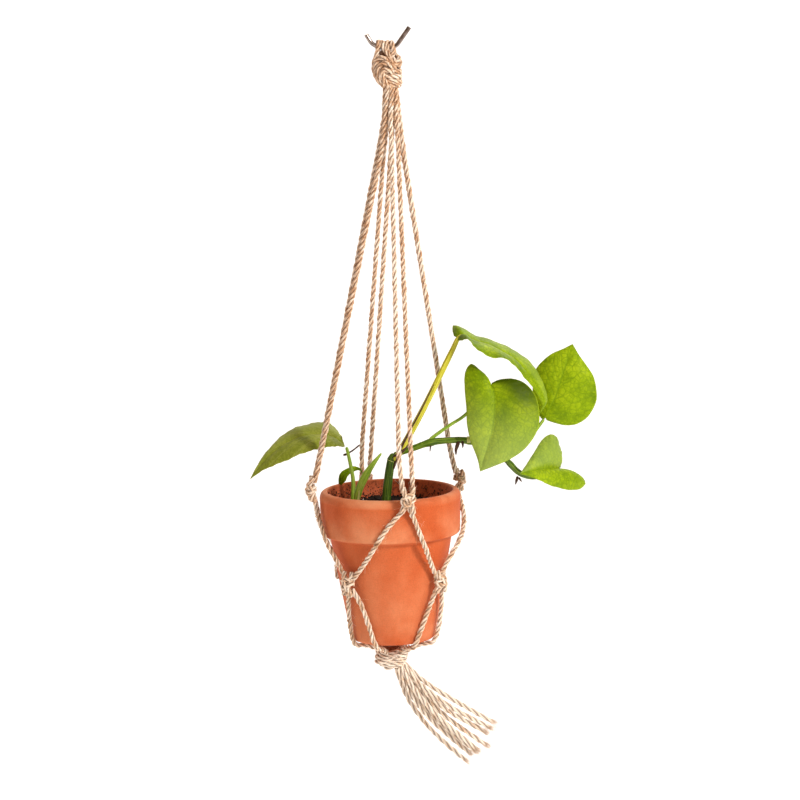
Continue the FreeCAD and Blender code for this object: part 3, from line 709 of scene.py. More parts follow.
def tapered_part(stations, rng, sides=20, step=0.001, ridges=0.04, knobs=()):
    """A stem along (point, radius) stations in saddle millimetres, with faint ridges and knobs."""
    control = row([place for place, _ in stations])
    radii = np.array([radius for _, radius in stations]) / 1000
    line, places = resample(spline_line(control), step)
    _, normal, side = frames(line)
    run = np.concatenate([[0], np.cumsum(np.linalg.norm(np.diff(control, axis=0), axis=1))])
    share = places / places[-1] * run[-1]
    radius = np.interp(share, run, radii)
    radius *= 1 + 0.03 * ripple(places, 0.03, rng)
    for knob, size in knobs:
        radius *= 1 + size * np.exp(-(((places / places[-1]) - knob) / 0.02) ** 2)
    angle = np.arange(sides) / sides * FULL_TURN
    phase = rng.uniform(0, 6.28, 3)
    ridge = 1 + ridges * (np.cos(3 * angle + phase[0]) + 0.6 * np.cos(5 * angle + phase[1])) / 1.6
    cut = np.clip(np.minimum(places, places[-1] - places) / 0.0012, 0.25, 1) ** 0.5
    size = (radius * cut)[:, None] * ridge[None, :]
    around = outward(angle[None, :], normal[:, None, :], side[:, None, :])
    points = line[:, None, :] + size[..., None] * around
    return part(
        np.concatenate([points.reshape(-1, 3), line[[0, -1]]]), *tube_faces(len(line), sides),
        *tube_uv(len(line), sides, FULL_TURN * radii.mean(), places),
        along=np.concatenate([np.repeat(places / places[-1], sides), [0, 1]]),
    )


def smooth_rows(rows, count):
    """More rows through the given ones, on a smooth line (Catmull-Rom) along each column."""
    rows = np.asarray(rows, float)
    padded = np.concatenate([[2 * rows[0] - rows[1]], rows, [2 * rows[-1] - rows[-2]]])
    places = np.linspace(0, len(rows) - 1, count)
    index = np.minimum(places.astype(int), len(rows) - 2)
    t = (places - index)[:, None, None]
    a, b, c, d = (padded[index + k] for k in range(4))
    return 0.5 * (2 * b + (c - a) * t + (2 * a - 5 * b + 4 * c - d) * t**2 + (3 * b - a - 3 * c + d) * t**3)


def vein_height(across, along, veins):
    """1 on a side vein and on the midrib, 0 between; the same pattern as the leaf material's."""
    phase = (along - VEIN_SLANT * across**VEIN_BEND) * veins
    nearest = np.abs(phase - np.round(phase)) / veins
    side_vein = np.exp(-((nearest / 0.012) ** 2)) * np.clip(1.15 - across, 0, 1)
    midrib = np.exp(-((across / 0.03) ** 2))
    return np.maximum(0.75 * side_vein, midrib)


def leaf_part(rows, rng, cup, pale, painted_shade, veins):
    """A leaf from its rows: two arched halves with sunk veins, closed by an underside; pale and the
    argument after it give its painted sheen and painted shade by side and place along it."""
    dense = row(smooth_rows(rows, LEAF_ROWS))
    left, rib, right = dense[:, 0], dense[:, 1], dense[:, 2]
    half = np.linspace(0, 1, LEAF_HALF_COLUMNS + 1)
    signed = np.concatenate([-half[::-1], half[1:]])
    edge = np.where(signed[None, :, None] < 0, left[:, None, :], right[:, None, :])
    signed, along = np.meshgrid(signed, np.linspace(0, 1, LEAF_ROWS))
    across = np.abs(signed)
    flat = rib[:, None, :] + (edge - rib[:, None, :]) * across[..., None]
    lift = np.cross(np.gradient(flat, axis=1), np.gradient(flat, axis=0))
    size = np.linalg.norm(lift, axis=2)
    lift = lift / np.maximum(size, 1e-12)[..., None]
    mean = unit(lift[20:-20].mean(axis=(0, 1)))
    lift = np.where(size[..., None] > 1e-9, lift, mean)
    if mean[1] > 0:
        lift, mean = -lift, -mean
    lift = unit(0.5 * lift + 0.5 * mean)
    width = np.linalg.norm(edge - rib[:, None, :], axis=2)
    arch = cup * width * across * (1 - across) * 4
    quilt = 0.00042 * np.clip(width / 0.02, 0, 1) * (0.5 - vein_height(across, along, veins))
    curl = ripple(np.linspace(0, 1, LEAF_ROWS), 0.31, rng)[:, None] * np.where(signed < 0, 1, -1)
    wave = 0.0011 * across**3 * np.clip(width / 0.015, 0, 1) * curl
    upper = flat + lift * (arch + quilt + wave)[..., None]
    rim = np.minimum(1, (1 - across) / 0.06) * np.clip(np.minimum(along, 1 - along) / 0.02, 0, 1)
    lower = upper - lift * (LEAF_THICKNESS * (0.25 + 0.75 * rim))[..., None]
    grid = np.arange(signed.size).reshape(signed.shape)
    top = np.stack([grid[:-1, :-1], grid[:-1, 1:], grid[1:, 1:], grid[1:, :-1]], 2).reshape(-1, 4)
    bottom = top[:, ::-1] + grid.size
    border = np.concatenate([grid[0, :], grid[1:, -1], grid[-1, -2::-1], grid[-2:0:-1, 0]])
    after = np.roll(border, -1)
    rim_band = np.stack([after, border, border + grid.size, after + grid.size], 1)
    quads = np.concatenate([top, bottom, rim_band])
    uv = np.tile(np.stack([signed * 0.5 + 0.5, along], 2).reshape(-1, 2), (2, 1))
    shades = {"pale": pale(signed, along), "painted_shade": painted_shade(signed, along), "across": across, "along": along}
    return part(
        np.stack([upper, lower]), quads, uv_quads=uv[quads],
        **{name: np.tile(shade.ravel(), 2) for name, shade in shades.items()},
    )


def crumb_part(places, sizes, rng, tone):
    """Rough little lumps: squashed, dented icospheres, whose shades are given by tone."""
    g = (1 + 5**0.5) / 2
    shell = unit(np.array([
        (-1, g, 0), (1, g, 0), (-1, -g, 0), (1, -g, 0), (0, -1, g), (0, 1, g),
        (0, -1, -g), (0, 1, -g), (g, 0, -1), (g, 0, 1), (-g, 0, -1), (-g, 0, 1),
    ], float))
    faces = np.array([
        (0, 11, 5), (0, 5, 1), (0, 1, 7), (0, 7, 10), (0, 10, 11), (1, 5, 9), (5, 11, 4),
        (11, 10, 2), (10, 7, 6), (7, 1, 8), (3, 9, 4), (3, 4, 2), (3, 2, 6), (3, 6, 8),
        (3, 8, 9), (4, 9, 5), (2, 4, 11), (6, 2, 10), (8, 6, 7), (9, 8, 1),
    ])
    count, corners = len(places), len(shell)
    dents = rng.uniform(0.65, 1.3, (count, corners, 1))
    squash = rng.uniform(0.6, 1.2, (count, 1, 3))
    lumps = shell[None] * dents * squash * np.asarray(sizes)[:, None, None]
    points = np.asarray(places)[:, None, :] + lumps
    tris = (faces[None] + corners * np.arange(count)[:, None, None]).reshape(-1, 3)
    return part(points, tris=tris, tone=np.repeat(tone, corners))


def turned_part(profile, sides, wobble):
    """A closed profile of (radius, height, inside, pale chalky colour that is partly a painted highlight)
    turned about the pot's axis.
    """
    profile = np.asarray(profile, float)
    turn = np.arange(sides) / sides * FULL_TURN
    out = 1 + wobble * (np.sin(2 * turn + 0.6) + 0.5 * np.sin(5 * turn + 2)) / 1.5
    radius = profile[:, :1] * out[None, :]
    height = np.broadcast_to(profile[:, 1:2], radius.shape)
    places = np.stack(in_pot(radius * np.cos(turn), radius * np.sin(turn), height), 2)
    ring = np.arange(len(profile))[:, None] * sides
    next_ring = np.roll(ring, -1, axis=0)
    j = np.arange(sides)[None, :]
    after = (j + 1) % sides
    quads = np.stack([ring + j, next_ring + j, next_ring + after, ring + after], 2).reshape(-1, 4)
    return part(
        row(places.reshape(-1, 3)), quads,
        inside=np.repeat(profile[:, 2], sides), chalk=np.repeat(profile[:, 3], sides),
    )



# ---------------------------------------------------------------- materials


def material(name):
    """A new material, its node tree and its shader."""
    made = bpy.data.materials.new(name)
    made.use_nodes = True
    return made, made.node_tree, made.node_tree.nodes["Principled BSDF"]


def put(tree, socket, value):
    """Sets a socket to a number or colour, or links an output to it."""
    if isinstance(value, bpy.types.NodeSocket):
        tree.links.new(value, socket)
    else:
        socket.default_value = value


def fill(tree, made, inputs):
    """Sets or links the named inputs of a node."""
    for key, value in inputs.items():
        put(tree, made.inputs[key], value)


def node(tree, kind, inputs=None, **settings):
    """A node with its settings and inputs."""
    made = tree.nodes.new(kind)
    for key, value in settings.items():
        setattr(made, key, value)
    fill(tree, made, inputs or {})
    return made


def attribute(tree, name):
    return node(tree, "ShaderNodeAttribute", attribute_name=name).outputs["Fac"]


def maths(tree, operation, a, b=0.0):
    return node(tree, "ShaderNodeMath", {0: a, 1: b}, operation=operation).outputs[0]


def plus(tree, a, b):
    return maths(tree, "ADD", a, b)


def minus(tree, a, b):
    return maths(tree, "SUBTRACT", a, b)


def times(tree, a, b):
    return maths(tree, "MULTIPLY", a, b)


def noise(tree, vector, scale, detail=3.0, roughness=0.55):
    inputs = {"Vector": vector, "Scale": scale, "Detail": detail, "Roughness": roughness}
    return node(tree, "ShaderNodeTexNoise", inputs).outputs["Fac"]


def cell_edges(tree, vector, scale):
    """How far a place is from the edge of its cell."""
    inputs = {"Vector": vector, "Scale": scale}
    return node(tree, "ShaderNodeTexVoronoi", inputs, feature="DISTANCE_TO_EDGE").outputs[0]


def stretched(tree, vector, scale, turn=0.0):
    """Coordinates turned about Z, then scaled."""
    turned = node(tree, "ShaderNodeMapping", {"Vector": vector, "Rotation": (0, 0, turn)}).outputs[0]
    return node(tree, "ShaderNodeMapping", {"Vector": turned, "Scale": scale}).outputs[0]


def ramp(tree, factor, stops):
    """A colour ramp with (place, colour) stops."""
    made = node(tree, "ShaderNodeValToRGB", {"Fac": factor})
    elements = made.color_ramp.elements
    while len(elements) < len(stops):
        elements.new(0.5)
    for element, (place, colour) in zip(elements, stops):
        element.position = place
        element.color = (*colour, 1)
    return made.outputs["Color"]


def ramp_value(tree, factor, low, high):
    """0 below low, 1 above high, smooth between."""
    inputs = {"Value": factor, "From Min": low, "From Max": high}
    return node(tree, "ShaderNodeMapRange", inputs, interpolation_type="SMOOTHSTEP").outputs["Result"]


def mix(tree, factor, a, b, blend="MIX"):
    made = node(tree, "ShaderNodeMix", data_type="RGBA", blend_type=blend)
    put(tree, made.inputs["Factor"], factor)
    for socket, value in ((made.inputs[6], a), (made.inputs[7], b)):
        put(tree, socket, value if isinstance(value, bpy.types.NodeSocket) else (*value, 1))
    return made.outputs[2]


def bump(tree, height, strength, distance, normal=None):
    made = node(tree, "ShaderNodeBump", {"Height": height, "Strength": strength, "Distance": distance})
    if normal is not None:
        put(tree, made.inputs["Normal"], normal)
    return made.outputs[0]


def uv(tree):
    return node(tree, "ShaderNodeUVMap", uv_map="UVMap").outputs[0]


def place_in_object(tree):
    return node(tree, "ShaderNodeTexCoord").outputs["Object"]


def jute_material():
    made, tree, shader = material("jute")
    along = uv(tree)
    lay_angle = math.radians(22)
    fibres = noise(tree, stretched(tree, along, (3600, 240, 1), lay_angle), 1.0, 3, 0.6)
    strands = noise(tree, stretched(tree, along, (1100, 110, 1), lay_angle), 1.0, 2)
    patches = noise(tree, place_in_object(tree), 120, 3)
    shade = plus(tree, times(tree, fibres, 0.45), times(tree, strands, 0.45))
    shade = plus(tree, shade, times(tree, patches, 0.25))
    shade = plus(tree, shade, times(tree, attribute(tree, "tone"), 0.16))
    shade = minus(tree, shade, 0.07)
    colour = ramp(tree, shade, [
        (0.40, (0.19, 0.065, 0.022)), (0.50, (0.50, 0.255, 0.120)),
        (0.585, (0.74, 0.505, 0.325)), (0.70, (0.95, 0.84, 0.71)),
    ])
    # Painted shade: the grooves between the plies, and the middles of the rope's ends, are darkened to deep
    # brown.
    groove = maths(tree, "POWER", attribute(tree, "groove"), 1.25)
    colour = mix(tree, times(tree, groove, 0.93), colour, (0.10, 0.028, 0.008))
    # Painted shade: the dark value darkens the cores hidden inside the knots.
    colour = mix(tree, times(tree, attribute(tree, "dark"), 0.6), colour, (0.13, 0.045, 0.016))
    height = plus(tree, fibres, times(tree, strands, 0.6))
    fill(tree, shader, {
        "Base Color": colour, "Roughness": 0.82, "Sheen Weight": 0.06, "Sheen Roughness": 0.5,
        "Normal": bump(tree, height, 0.8, 0.00035),
    })
    return made


def fibre_material():
    made, tree, shader = material("jute_fibre")
    colour = ramp(tree, attribute(tree, "tone"), [
        (0.0, (0.46, 0.27, 0.14)), (0.45, (0.72, 0.51, 0.34)), (1.0, (0.92, 0.78, 0.62)),
    ])
    patches = noise(tree, place_in_object(tree), 300, 2)
    colour = mix(tree, times(tree, patches, 0.4), colour, (0.5, 0.3, 0.16))
    fill(tree, shader, {"Base Color": colour, "Roughness": 0.75})
    return made


def steel_material():
    made, tree, shader = material("steel")
    place = place_in_object(tree)
    streaks = noise(tree, stretched(tree, place, (140, 1400, 140)), 1.0, 3)
    colour = ramp(tree, streaks, [
        (0.35, (0.10, 0.070, 0.055)), (0.55, (0.27, 0.215, 0.185)), (0.75, (0.58, 0.53, 0.50)),
    ])
    rough = plus(tree, times(tree, noise(tree, place, 700, 3), 0.22), 0.12)
    fill(tree, shader, {
        "Base Color": colour, "Metallic": 1.0, "Roughness": rough,
        "Normal": bump(tree, streaks, 0.25, 0.0002),
    })
    return made


def terracotta_material():
    made, tree, shader = material("terracotta")
    place = place_in_object(tree)
    clouds = noise(tree, place, 16, 4)
    grain = noise(tree, place, 900, 3, 0.7)
    specks = noise(tree, place, 2600, 2)
    drips = noise(tree, stretched(tree, place, (60, 60, 9)), 1.0, 3)
    rings = noise(tree, stretched(tree, place, (4, 4, 420)), 1.0, 3)
    shade = plus(tree, times(tree, clouds, 0.6), times(tree, drips, 0.4))
    colour = ramp(tree, shade, [
        (0.3, (0.44, 0.072, 0.015)), (0.5, (0.52, 0.098, 0.025)), (0.72, (0.60, 0.140, 0.045)),
    ])
    fine = ramp(tree, grain, [(0.3, (0.80, 0.80, 0.80)), (0.55, (1, 1, 1)), (0.8, (1.12, 1.1, 1.08))])
    colour = mix(tree, 1.0, colour, fine, "MULTIPLY")
    # Pale chalky clay on the rim and rounded edges, partly a painted highlight where light catches them, in
    # cloudy patches.
    chalk = times(tree, attribute(tree, "chalk"), ramp_value(tree, clouds, 0.35, 0.75))
    colour = mix(tree, chalk, colour, (0.84, 0.46, 0.25))
    inside = ramp(tree, shade, [(0.3, (0.36, 0.062, 0.022)), (0.7, (0.50, 0.115, 0.045))])
    dirt = ramp_value(tree, noise(tree, place, 260, 4, 0.7), 0.5, 0.64)
    inside = mix(tree, times(tree, dirt, 0.75), inside, (0.06, 0.012, 0.006))
    colour = mix(tree, attribute(tree, "inside"), colour, inside)
    height = plus(tree, times(tree, grain, 0.7), times(tree, specks, 0.3))
    turning_marks = bump(tree, rings, 0.25, 0.0006)
    fill(tree, shader, {
        "Base Color": colour, "Roughness": 0.66, "Specular IOR Level": 0.12,
        "Normal": bump(tree, height, 0.35, 0.0003, turning_marks),
    })
    return made


def soil_material():
    made, tree, shader = material("soil")
    colour = ramp(tree, attribute(tree, "tone"), [
        (0.0, (0.008, 0.005, 0.004)), (0.45, (0.03, 0.017, 0.010)), (0.62, (0.10, 0.045, 0.022)),
        (0.82, (0.24, 0.06, 0.025)), (0.97, (0.85, 0.83, 0.79)),
    ])
    mottle = noise(tree, place_in_object(tree), 900, 4, 0.7)
    colour = mix(tree, times(tree, ramp_value(tree, mottle, 0.4, 0.7), 0.5), colour, (0.012, 0.008, 0.006))
    fill(tree, shader, {
        "Base Color": colour, "Roughness": 0.95, "Specular IOR Level": 0.2,
        "Normal": bump(tree, mottle, 0.8, 0.0008),
    })
    return made


def stem_material(name, dark, main, pale):
    """Stem skin: streaks along it between three greens, with pale spots."""
    made, tree, shader = material(name)
    along = uv(tree)
    streaks = noise(tree, stretched(tree, along, (900, 32, 1)), 1.0, 3)
    spots = noise(tree, place_in_object(tree), 420, 3, 0.6)
    colour = ramp(tree, streaks, [(0.34, dark), (0.5, main), (0.72, pale)])
    colour = mix(tree, times(tree, ramp_value(tree, spots, 0.56, 0.74), 0.6), colour, pale)
    fill(tree, shader, {
        "Base Color": colour, "Roughness": plus(tree, times(tree, spots, 0.25), 0.3),
        "Specular IOR Level": 0.25, "Normal": bump(tree, streaks, 0.3, 0.0004),
    })
    return made


def leaf_material(name, deep, main, light, pale, vein, veins, blotch):
    """Leaf skin: greens that vary in patches, veins on the mesh's own pattern, a painted pale sheen and
    painted shade.
    """
    made, tree, shader = material(name)
    place = place_in_object(tree)
    patches = noise(tree, place, 55, 4, 0.6)
    cells = cell_edges(tree, place, 210.0)
    fine = noise(tree, place, 700, 3, 0.6)
    across, along = attribute(tree, "across"), attribute(tree, "along")
    bent = times(tree, maths(tree, "POWER", across, VEIN_BEND), VEIN_SLANT)
    phase = times(tree, minus(tree, along, bent), float(veins))
    gap = maths(tree, "ABSOLUTE", minus(tree, phase, maths(tree, "ROUND", phase)))
    side_vein = minus(tree, 1.0, ramp_value(tree, gap, 0.0, 0.10))
    rib = minus(tree, 1.0, ramp_value(tree, across, 0.004, 0.030))
    wrinkles = cell_edges(tree, stretched(tree, place, (190, 60, 190)), 1.0)
    shade = plus(tree, times(tree, patches, 0.75), times(tree, fine, 0.25))
    colour = ramp(tree, shade, [(0.32, deep), (0.5, main), (0.68, light)])
    net = minus(tree, 1.0, ramp_value(tree, cells, 0.0, 0.16))
    colour = mix(tree, times(tree, net, 0.45), colour, deep)
    glints = times(tree, ramp_value(tree, wrinkles, 0.16, 0.42), ramp_value(tree, fine, 0.46, 0.62))
    colour = mix(tree, times(tree, glints, 0.5), colour, light)
    colour = mix(tree, times(tree, side_vein, blotch), colour, vein)
    colour = mix(tree, times(tree, rib, 0.55), colour, vein)
    # Painted sheen: lightens the green towards a pale grey-green.
    colour = mix(tree, attribute(tree, "pale"), colour, pale)
    # Painted shade and cast shadow: darkens the green towards a third of its deep green.
    colour = mix(tree, attribute(tree, "painted_shade"), colour, tuple(0.34 * c for c in deep))
    edge = ramp_value(tree, across, 0.965, 1.0)
    colour = mix(tree, times(tree, edge, 0.6), colour, light)
    height = plus(tree, times(tree, cells, 1.3), times(tree, wrinkles, 0.9))
    height = minus(tree, height, times(tree, side_vein, 0.35))
    fill(tree, shader, {
        "Base Color": colour, "Roughness": plus(tree, times(tree, fine, 0.2), 0.36),
        "Specular IOR Level": 0.06, "Normal": bump(tree, height, 0.5, 0.0006),
    })
    return made

# ---------------------------------------------------------------- assembly

# Rope diameters and the spacing of route points, in metres.
CORD_D = 0.0042
FOLD_D = 0.0040
STRAND_D = 0.0036
ROUTE_STEP = 0.001

add_camera()
for lamp_name, lamp in LAMPS.items():
    add_lamp(lamp_name, *lamp)
add_world()
add_floor()

JUTE = jute_material()
FIBRE = fibre_material()
rng = np.random.default_rng(438)


def add_piece(name, parts, look, nodes=(), body=None):
    """A piece from its parts, which hides the CAD nodes it replaces and rides on the given body."""
    piece = make_object(name, parts, look)
    if nodes:
        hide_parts(*nodes)
    if body:
        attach(piece, body)
    return piece


def route_line(points):
    return spline_line(row(points))


def shaded(core, **shades):
    """A core with one value of each shade all over."""
    core["values"] = {key: np.full(len(core["points"]), value) for key, value in shades.items()}
    return core


# Neck and upper cords: each strand is one line from inside the top knot to its rim knot.

NECK_AXIS_X = 3.6


def strand_route(points):
    angle = math.atan2(points[0][1], points[0][0] - NECK_AXIS_X)
    route = []
    for middle, radius, turn in zip(NECK_RING_MIDDLES, NECK_RING_RADII, NECK_TURNS):
        a = angle + math.radians(turn)
        route.append((middle[0] + radius * math.cos(a), middle[1] + radius * math.sin(a), middle[2]))
    return route + points


neck_parts, neck_fuzz, upper_fuzz = [], [], []
split = row((0, 0, NECK_SPLIT_Z))[2]
for place, points in UPPER_CORDS.items():
    line = route_line(strand_route(points))
    line, _ = resample(line, ROUTE_STEP)
    upper = line[line[:, 2] > split - 0.002]
    lower = line[line[:, 2] < split + 0.001]
    neck_parts.append(rope_part(upper, CORD_D, rng))
    neck_fuzz.append(fuzz_part(upper, CORD_D, rng))
    rope = [rope_part(lower, CORD_D, rng, pale=0.2)]
    cord = add_piece(f"cord_{place}", rope, JUTE, [f"upper_cord_{place}"])
    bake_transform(cord)
    upper_fuzz.append(fuzz_part(lower, CORD_D, rng))

neck = add_piece("neck_strands", neck_parts, JUTE, ["neck_cords"])
fuzz = add_piece("neck_fibres", neck_fuzz, FIBRE)
for piece in (neck, fuzz):
    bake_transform(piece)
fuzz = add_piece("upper_fibres", upper_fuzz, FIBRE)
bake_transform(fuzz)

# Folds over the hook: each from its front end in the knot, over the wire, to its back end.

FOLD_ROUTES = (
    [(-11.2, -6.6, -14.0), (-10.6, -5.6, -8.0), (-9.2, -4.2, -2.0), (-8.7, -3.9, 2.2), (-8.7, -1.7, 4.3),
     (-8.7, 1.7, 4.3), (-8.7, 3.9, 2.2), (-8.9, 4.2, -3.2), (-9.0, 6.2, -9.5), (-8.0, 8.4, -17.0)],
    [(6.2, -9.4, -12.6), (1.6, -9.2, -8.6), (-2.8, -6.6, -4.2), (-4.7, -3.9, 1.0), (-4.8, -1.6, 3.8),
     (-4.8, 1.6, 3.8), (-4.7, 3.8, 1.2), (-4.2, 4.2, -3.2), (-3.6, 6.2, -9.5), (-3.0, 8.4, -17.0)],
    [(0.4, -8.0, -14.5), (0.6, -6.4, -9.0), (0.0, -4.4, -3.6), (-0.8, -3.8, 1.2), (-0.9, -1.6, 3.8),
     (-0.9, 1.6, 3.8), (-0.9, 3.8, 1.2), (0.4, 4.0, -3.2), (1.6, 6.0, -9.5), (2.4, 8.4, -17.0)],
    [(0.2, -11.2, -13.2), (3.6, -8.4, -9.4), (5.2, -5.2, -4.6), (4.2, -3.9, 1.2), (3.0, -1.7, 4.1),
     (3.0, 1.7, 4.1), (3.8, 3.8, 1.4), (5.2, 4.0, -3.2), (6.4, 6.0, -9.5), (7.2, 8.4, -17.0)],
)
fold_parts, head_fuzz = [], []
for route in FOLD_ROUTES:
    line = route_line(route)
    fold_parts.append(rope_part(line, FOLD_D, rng))
    head_fuzz.append(fuzz_part(line, FOLD_D, rng, per_mm=1.0))
add_piece("cord_folds", fold_parts, JUTE, ["loop_cords"], "head")

# Top knot: level wraps round its lower right, and strands that hook over its left and run down
# into the neck in front of the wraps.

# The knot's middle and the half sizes of its strand surface.
TOP_KNOT = (-0.5, 0, -20.5)
TOP_KNOT_HALF_WIDTH = 12.3
TOP_KNOT_HALF_HEIGHT = 13.4
CORE_SIDES = 24
TOP_WRAPS = (
    # middle x, height, radius, how much lower the right is
    (0.4, -17.4, 9.4, 1.0), (0.6, -21.8, 10.2, 1.4), (1.0, -26.2, 10.3, 1.8), (2.0, -30.4, 9.3, 2.4),
    (3.2, -33.8, 7.0, 2.2),
)
FRONT_STRANDS = (
    [(-9.8, -4.0, -6.5), (-12.4, -2.0, -12.0), (-13.1, -1.2, -18.5), (-11.8, -1.4, -25.5),
     (-8.0, -2.4, -31.5), (-3.4, -2.6, -36.0)],
    [(6.4, -9.6, -15.6), (1.6, -11.6, -12.0), (-4.2, -11.0, -9.6), (-9.2, -8.0, -11.2),
     (-11.6, -6.4, -17.0), (-11.0, -6.8, -24.0), (-7.8, -7.0, -30.5), (-3.4, -5.6, -35.8)],
    [(7.0, -10.4, -19.8), (2.4, -12.4, -16.6), (-2.6, -12.6, -14.2), (-7.4, -10.8, -16.2),
     (-9.0, -9.8, -21.6), (-7.0, -10.2, -27.6), (-3.6, -9.2, -32.8), (-0.8, -6.4, -36.4)],
    [(4.6, -11.6, -23.4), (0.6, -13.2, -20.8), (-3.6, -13.0, -20.2), (-5.6, -12.2, -24.0),
     (-4.2, -11.8, -28.6), (-1.4, -9.8, -33.2), (0.8, -6.6, -36.6)],
    [(9.6, -3.2, -9.0), (10.6, -6.2, -12.6), (7.4, -9.8, -15.2), (2.0, -11.0, -17.4)],
    [(7.2, 1.6, -7.4), (10.4, -1.4, -11.0), (11.2, -3.6, -15.4), (9.4, -6.6, -19.0)],
)
BACK_STRANDS = (
    # azimuth at the top, at the widest place and at the bottom, for polar angles 14 to 166
    (96, 118, 146), (128, 152, 176), (70, 88, 112), (42, 56, 78),
)


def on_knot(azimuth, polar, out=0.0):
    """A point on the top knot's strand surface, in saddle millimetres."""
    a, p = math.radians(azimuth), math.radians(polar)
    across = (TOP_KNOT_HALF_WIDTH + out) * math.sin(p)
    return (
        TOP_KNOT[0] + across * math.cos(a),
        TOP_KNOT[1] + across * math.sin(a),
        TOP_KNOT[2] + (TOP_KNOT_HALF_HEIGHT + out) * math.cos(p),
    )


knot_routes = [list(route) for route in FRONT_STRANDS]
for x, z, radius, drop in TOP_WRAPS:
    turns = [math.radians(a) for a in range(165, 560, 24)]
    knot_routes.append([
        (x + radius * math.cos(a), radius * math.sin(a), z - drop * 0.5 * math.cos(a)) for a in turns
    ])
for top, wide, bottom in BACK_STRANDS:
    route = []
    for polar in (14, 34, 56, 80, 104, 128, 150, 166):
        share = (polar - 14) / (166 - 14)
        azimuth = top + (wide - top) * min(1, 2 * share) + (bottom - wide) * max(0, 2 * share - 1)
        route.append(on_knot(azimuth, polar, 0.5))
    knot_routes.append(route)
knot_parts = []
for route in knot_routes:
    line = route_line(route)
    knot_parts.append(rope_part(line, CORD_D, rng))
    head_fuzz.append(fuzz_part(line, CORD_D, rng, per_mm=0.7))
# A core behind the strands, its colour darkened as painted shade in the gaps between them.
stations = [((-3.0, 0, -2.8), 3.0), ((-3.0, 0, -5.0), 5.5), ((-2.0, 0, -8.0), 6.5)]
for polar in (55, 80, 105, 130, 155, 172):
    x, _, z = on_knot(0, polar, -3.4)
    stations.append(((TOP_KNOT[0], 0, z), x - TOP_KNOT[0]))
core = shaded(tapered_part(stations, rng, sides=CORE_SIDES), groove=0.9, tone=0.3, dark=0.6)
add_piece("top_knot_wraps", knot_parts + [core], JUTE, ["top_knot"], "head")
add_piece("head_fibres", head_fuzz, FIBRE, body="head")

# Net, base cords and their knots.

CRADLE_PALE = 0.18
cradle_fuzz = []


def cradle_piece(name, routes, replaced, per_mm=1.4, long_share=0.19, pale=CRADLE_PALE):
    """One rope along each route, in place of one CAD node; its fibres join the cradle's."""
    parts = []
    for route in routes:
        line = route_line(route)
        parts.append(rope_part(line, CORD_D, rng, pale=pale))
        cradle_fuzz.append(fuzz_part(line, CORD_D, rng, per_mm, long_share))
    add_piece(name, parts, JUTE, [replaced], "cradle")


for kind, cords in (("net", NET_CORDS), ("base", BASE_CORDS)):
    for place, points in cords.items():
        cradle_piece(f"{kind}_{place}", [[to_pot(*p) for p in points]], f"{kind}_cord_{place}")


def knot_frame(azimuth, radius, height):
    """Turns a knot's own (right, out, up) millimetres into saddle millimetres; right is a viewer's
    right who faces the knot from outside."""
    middle = np.array(to_pot(azimuth, radius, height))
    a = math.radians(azimuth)
    right = np.array((-math.sin(a), math.cos(a), 0))
    out = np.array((math.cos(a), math.sin(a), 0))
    up = np.array((0, 0, 1.0))
    return lambda p: tuple(middle + right * p[0] + out * p[1] + up * p[2])


# An overhand knot of two strands, as (right, out, up) from its middle.
OVER = [
    (-4.6, 0.6, 12.5), (-4.2, 1.8, 8.0), (-2.6, 3.6, 4.2), (0.2, 4.7, 0.8), (2.8, 4.3, -3.0),
    (4.4, 2.2, -7.2), (5.2, 0.8, -11.0),
]
UNDER = [
    (4.9, 0.2, 12.5), (4.4, 0.6, 7.6), (2.6, 0.9, 3.6), (-0.4, 0.2, 0.4), (-3.0, 0.6, -3.4),
    (-4.6, 1.0, -7.4), (-5.4, 0.6, -11.0),
]
WRAP = [
    (3.6, -1.6, 3.4), (5.2, 0.6, 3.2), (4.6, 3.2, 1.4), (1.6, 4.0, -2.6), (-2.2, 4.3, -3.8),
    (-5.0, 2.4, -2.2), (-5.2, -0.6, 0.6), (-2.6, -2.0, 2.0),
]
TUCK = [
    (-4.8, -1.0, -1.2), (-5.4, 1.6, 1.4), (-3.2, 4.0, 3.6), (0.6, 3.8, 5.0), (3.6, 2.2, 4.6),
    (5.0, -0.4, 2.4), (3.2, -1.8, -0.4),
]

KNOT_FORMS = {
    # whether the knot is mirrored, and how tall it is against the form
    "rim_left": (True, 0.95), "rim_front": (False, 1.0), "rim_right": (False, 0.8), "rim_back": (True, 0.9),
    "front_left": (False, 0.95), "front_right": (False, 0.9),
    "back_right": (True, 0.9), "back_left": (False, 0.9),
}
knots = [(f"rim_{place}", f"rim_knot_{place}", where) for place, where in RIM_KNOTS.items()]
knots += [(place, f"lower_knot_{place}", where) for place, where in LOWER_KNOTS.items()]
for form, node_name, where in knots:
    mirrored, tall = KNOT_FORMS[form]
    hand = -1 if mirrored else 1
    at = knot_frame(*where)
    routes = []
    for shape in (OVER, UNDER, WRAP, TUCK):
        routes.append([
            at((hand * r + rng.normal(0, 0.25), o + 0.4, u * tall + rng.normal(0, 0.25)))
            for r, o, u in shape
        ])
    cradle_piece(f"knot_{form}", routes, node_name, per_mm=1.8, long_share=0.14)

# Bottom knot: strands wound on a slant, higher on the right.

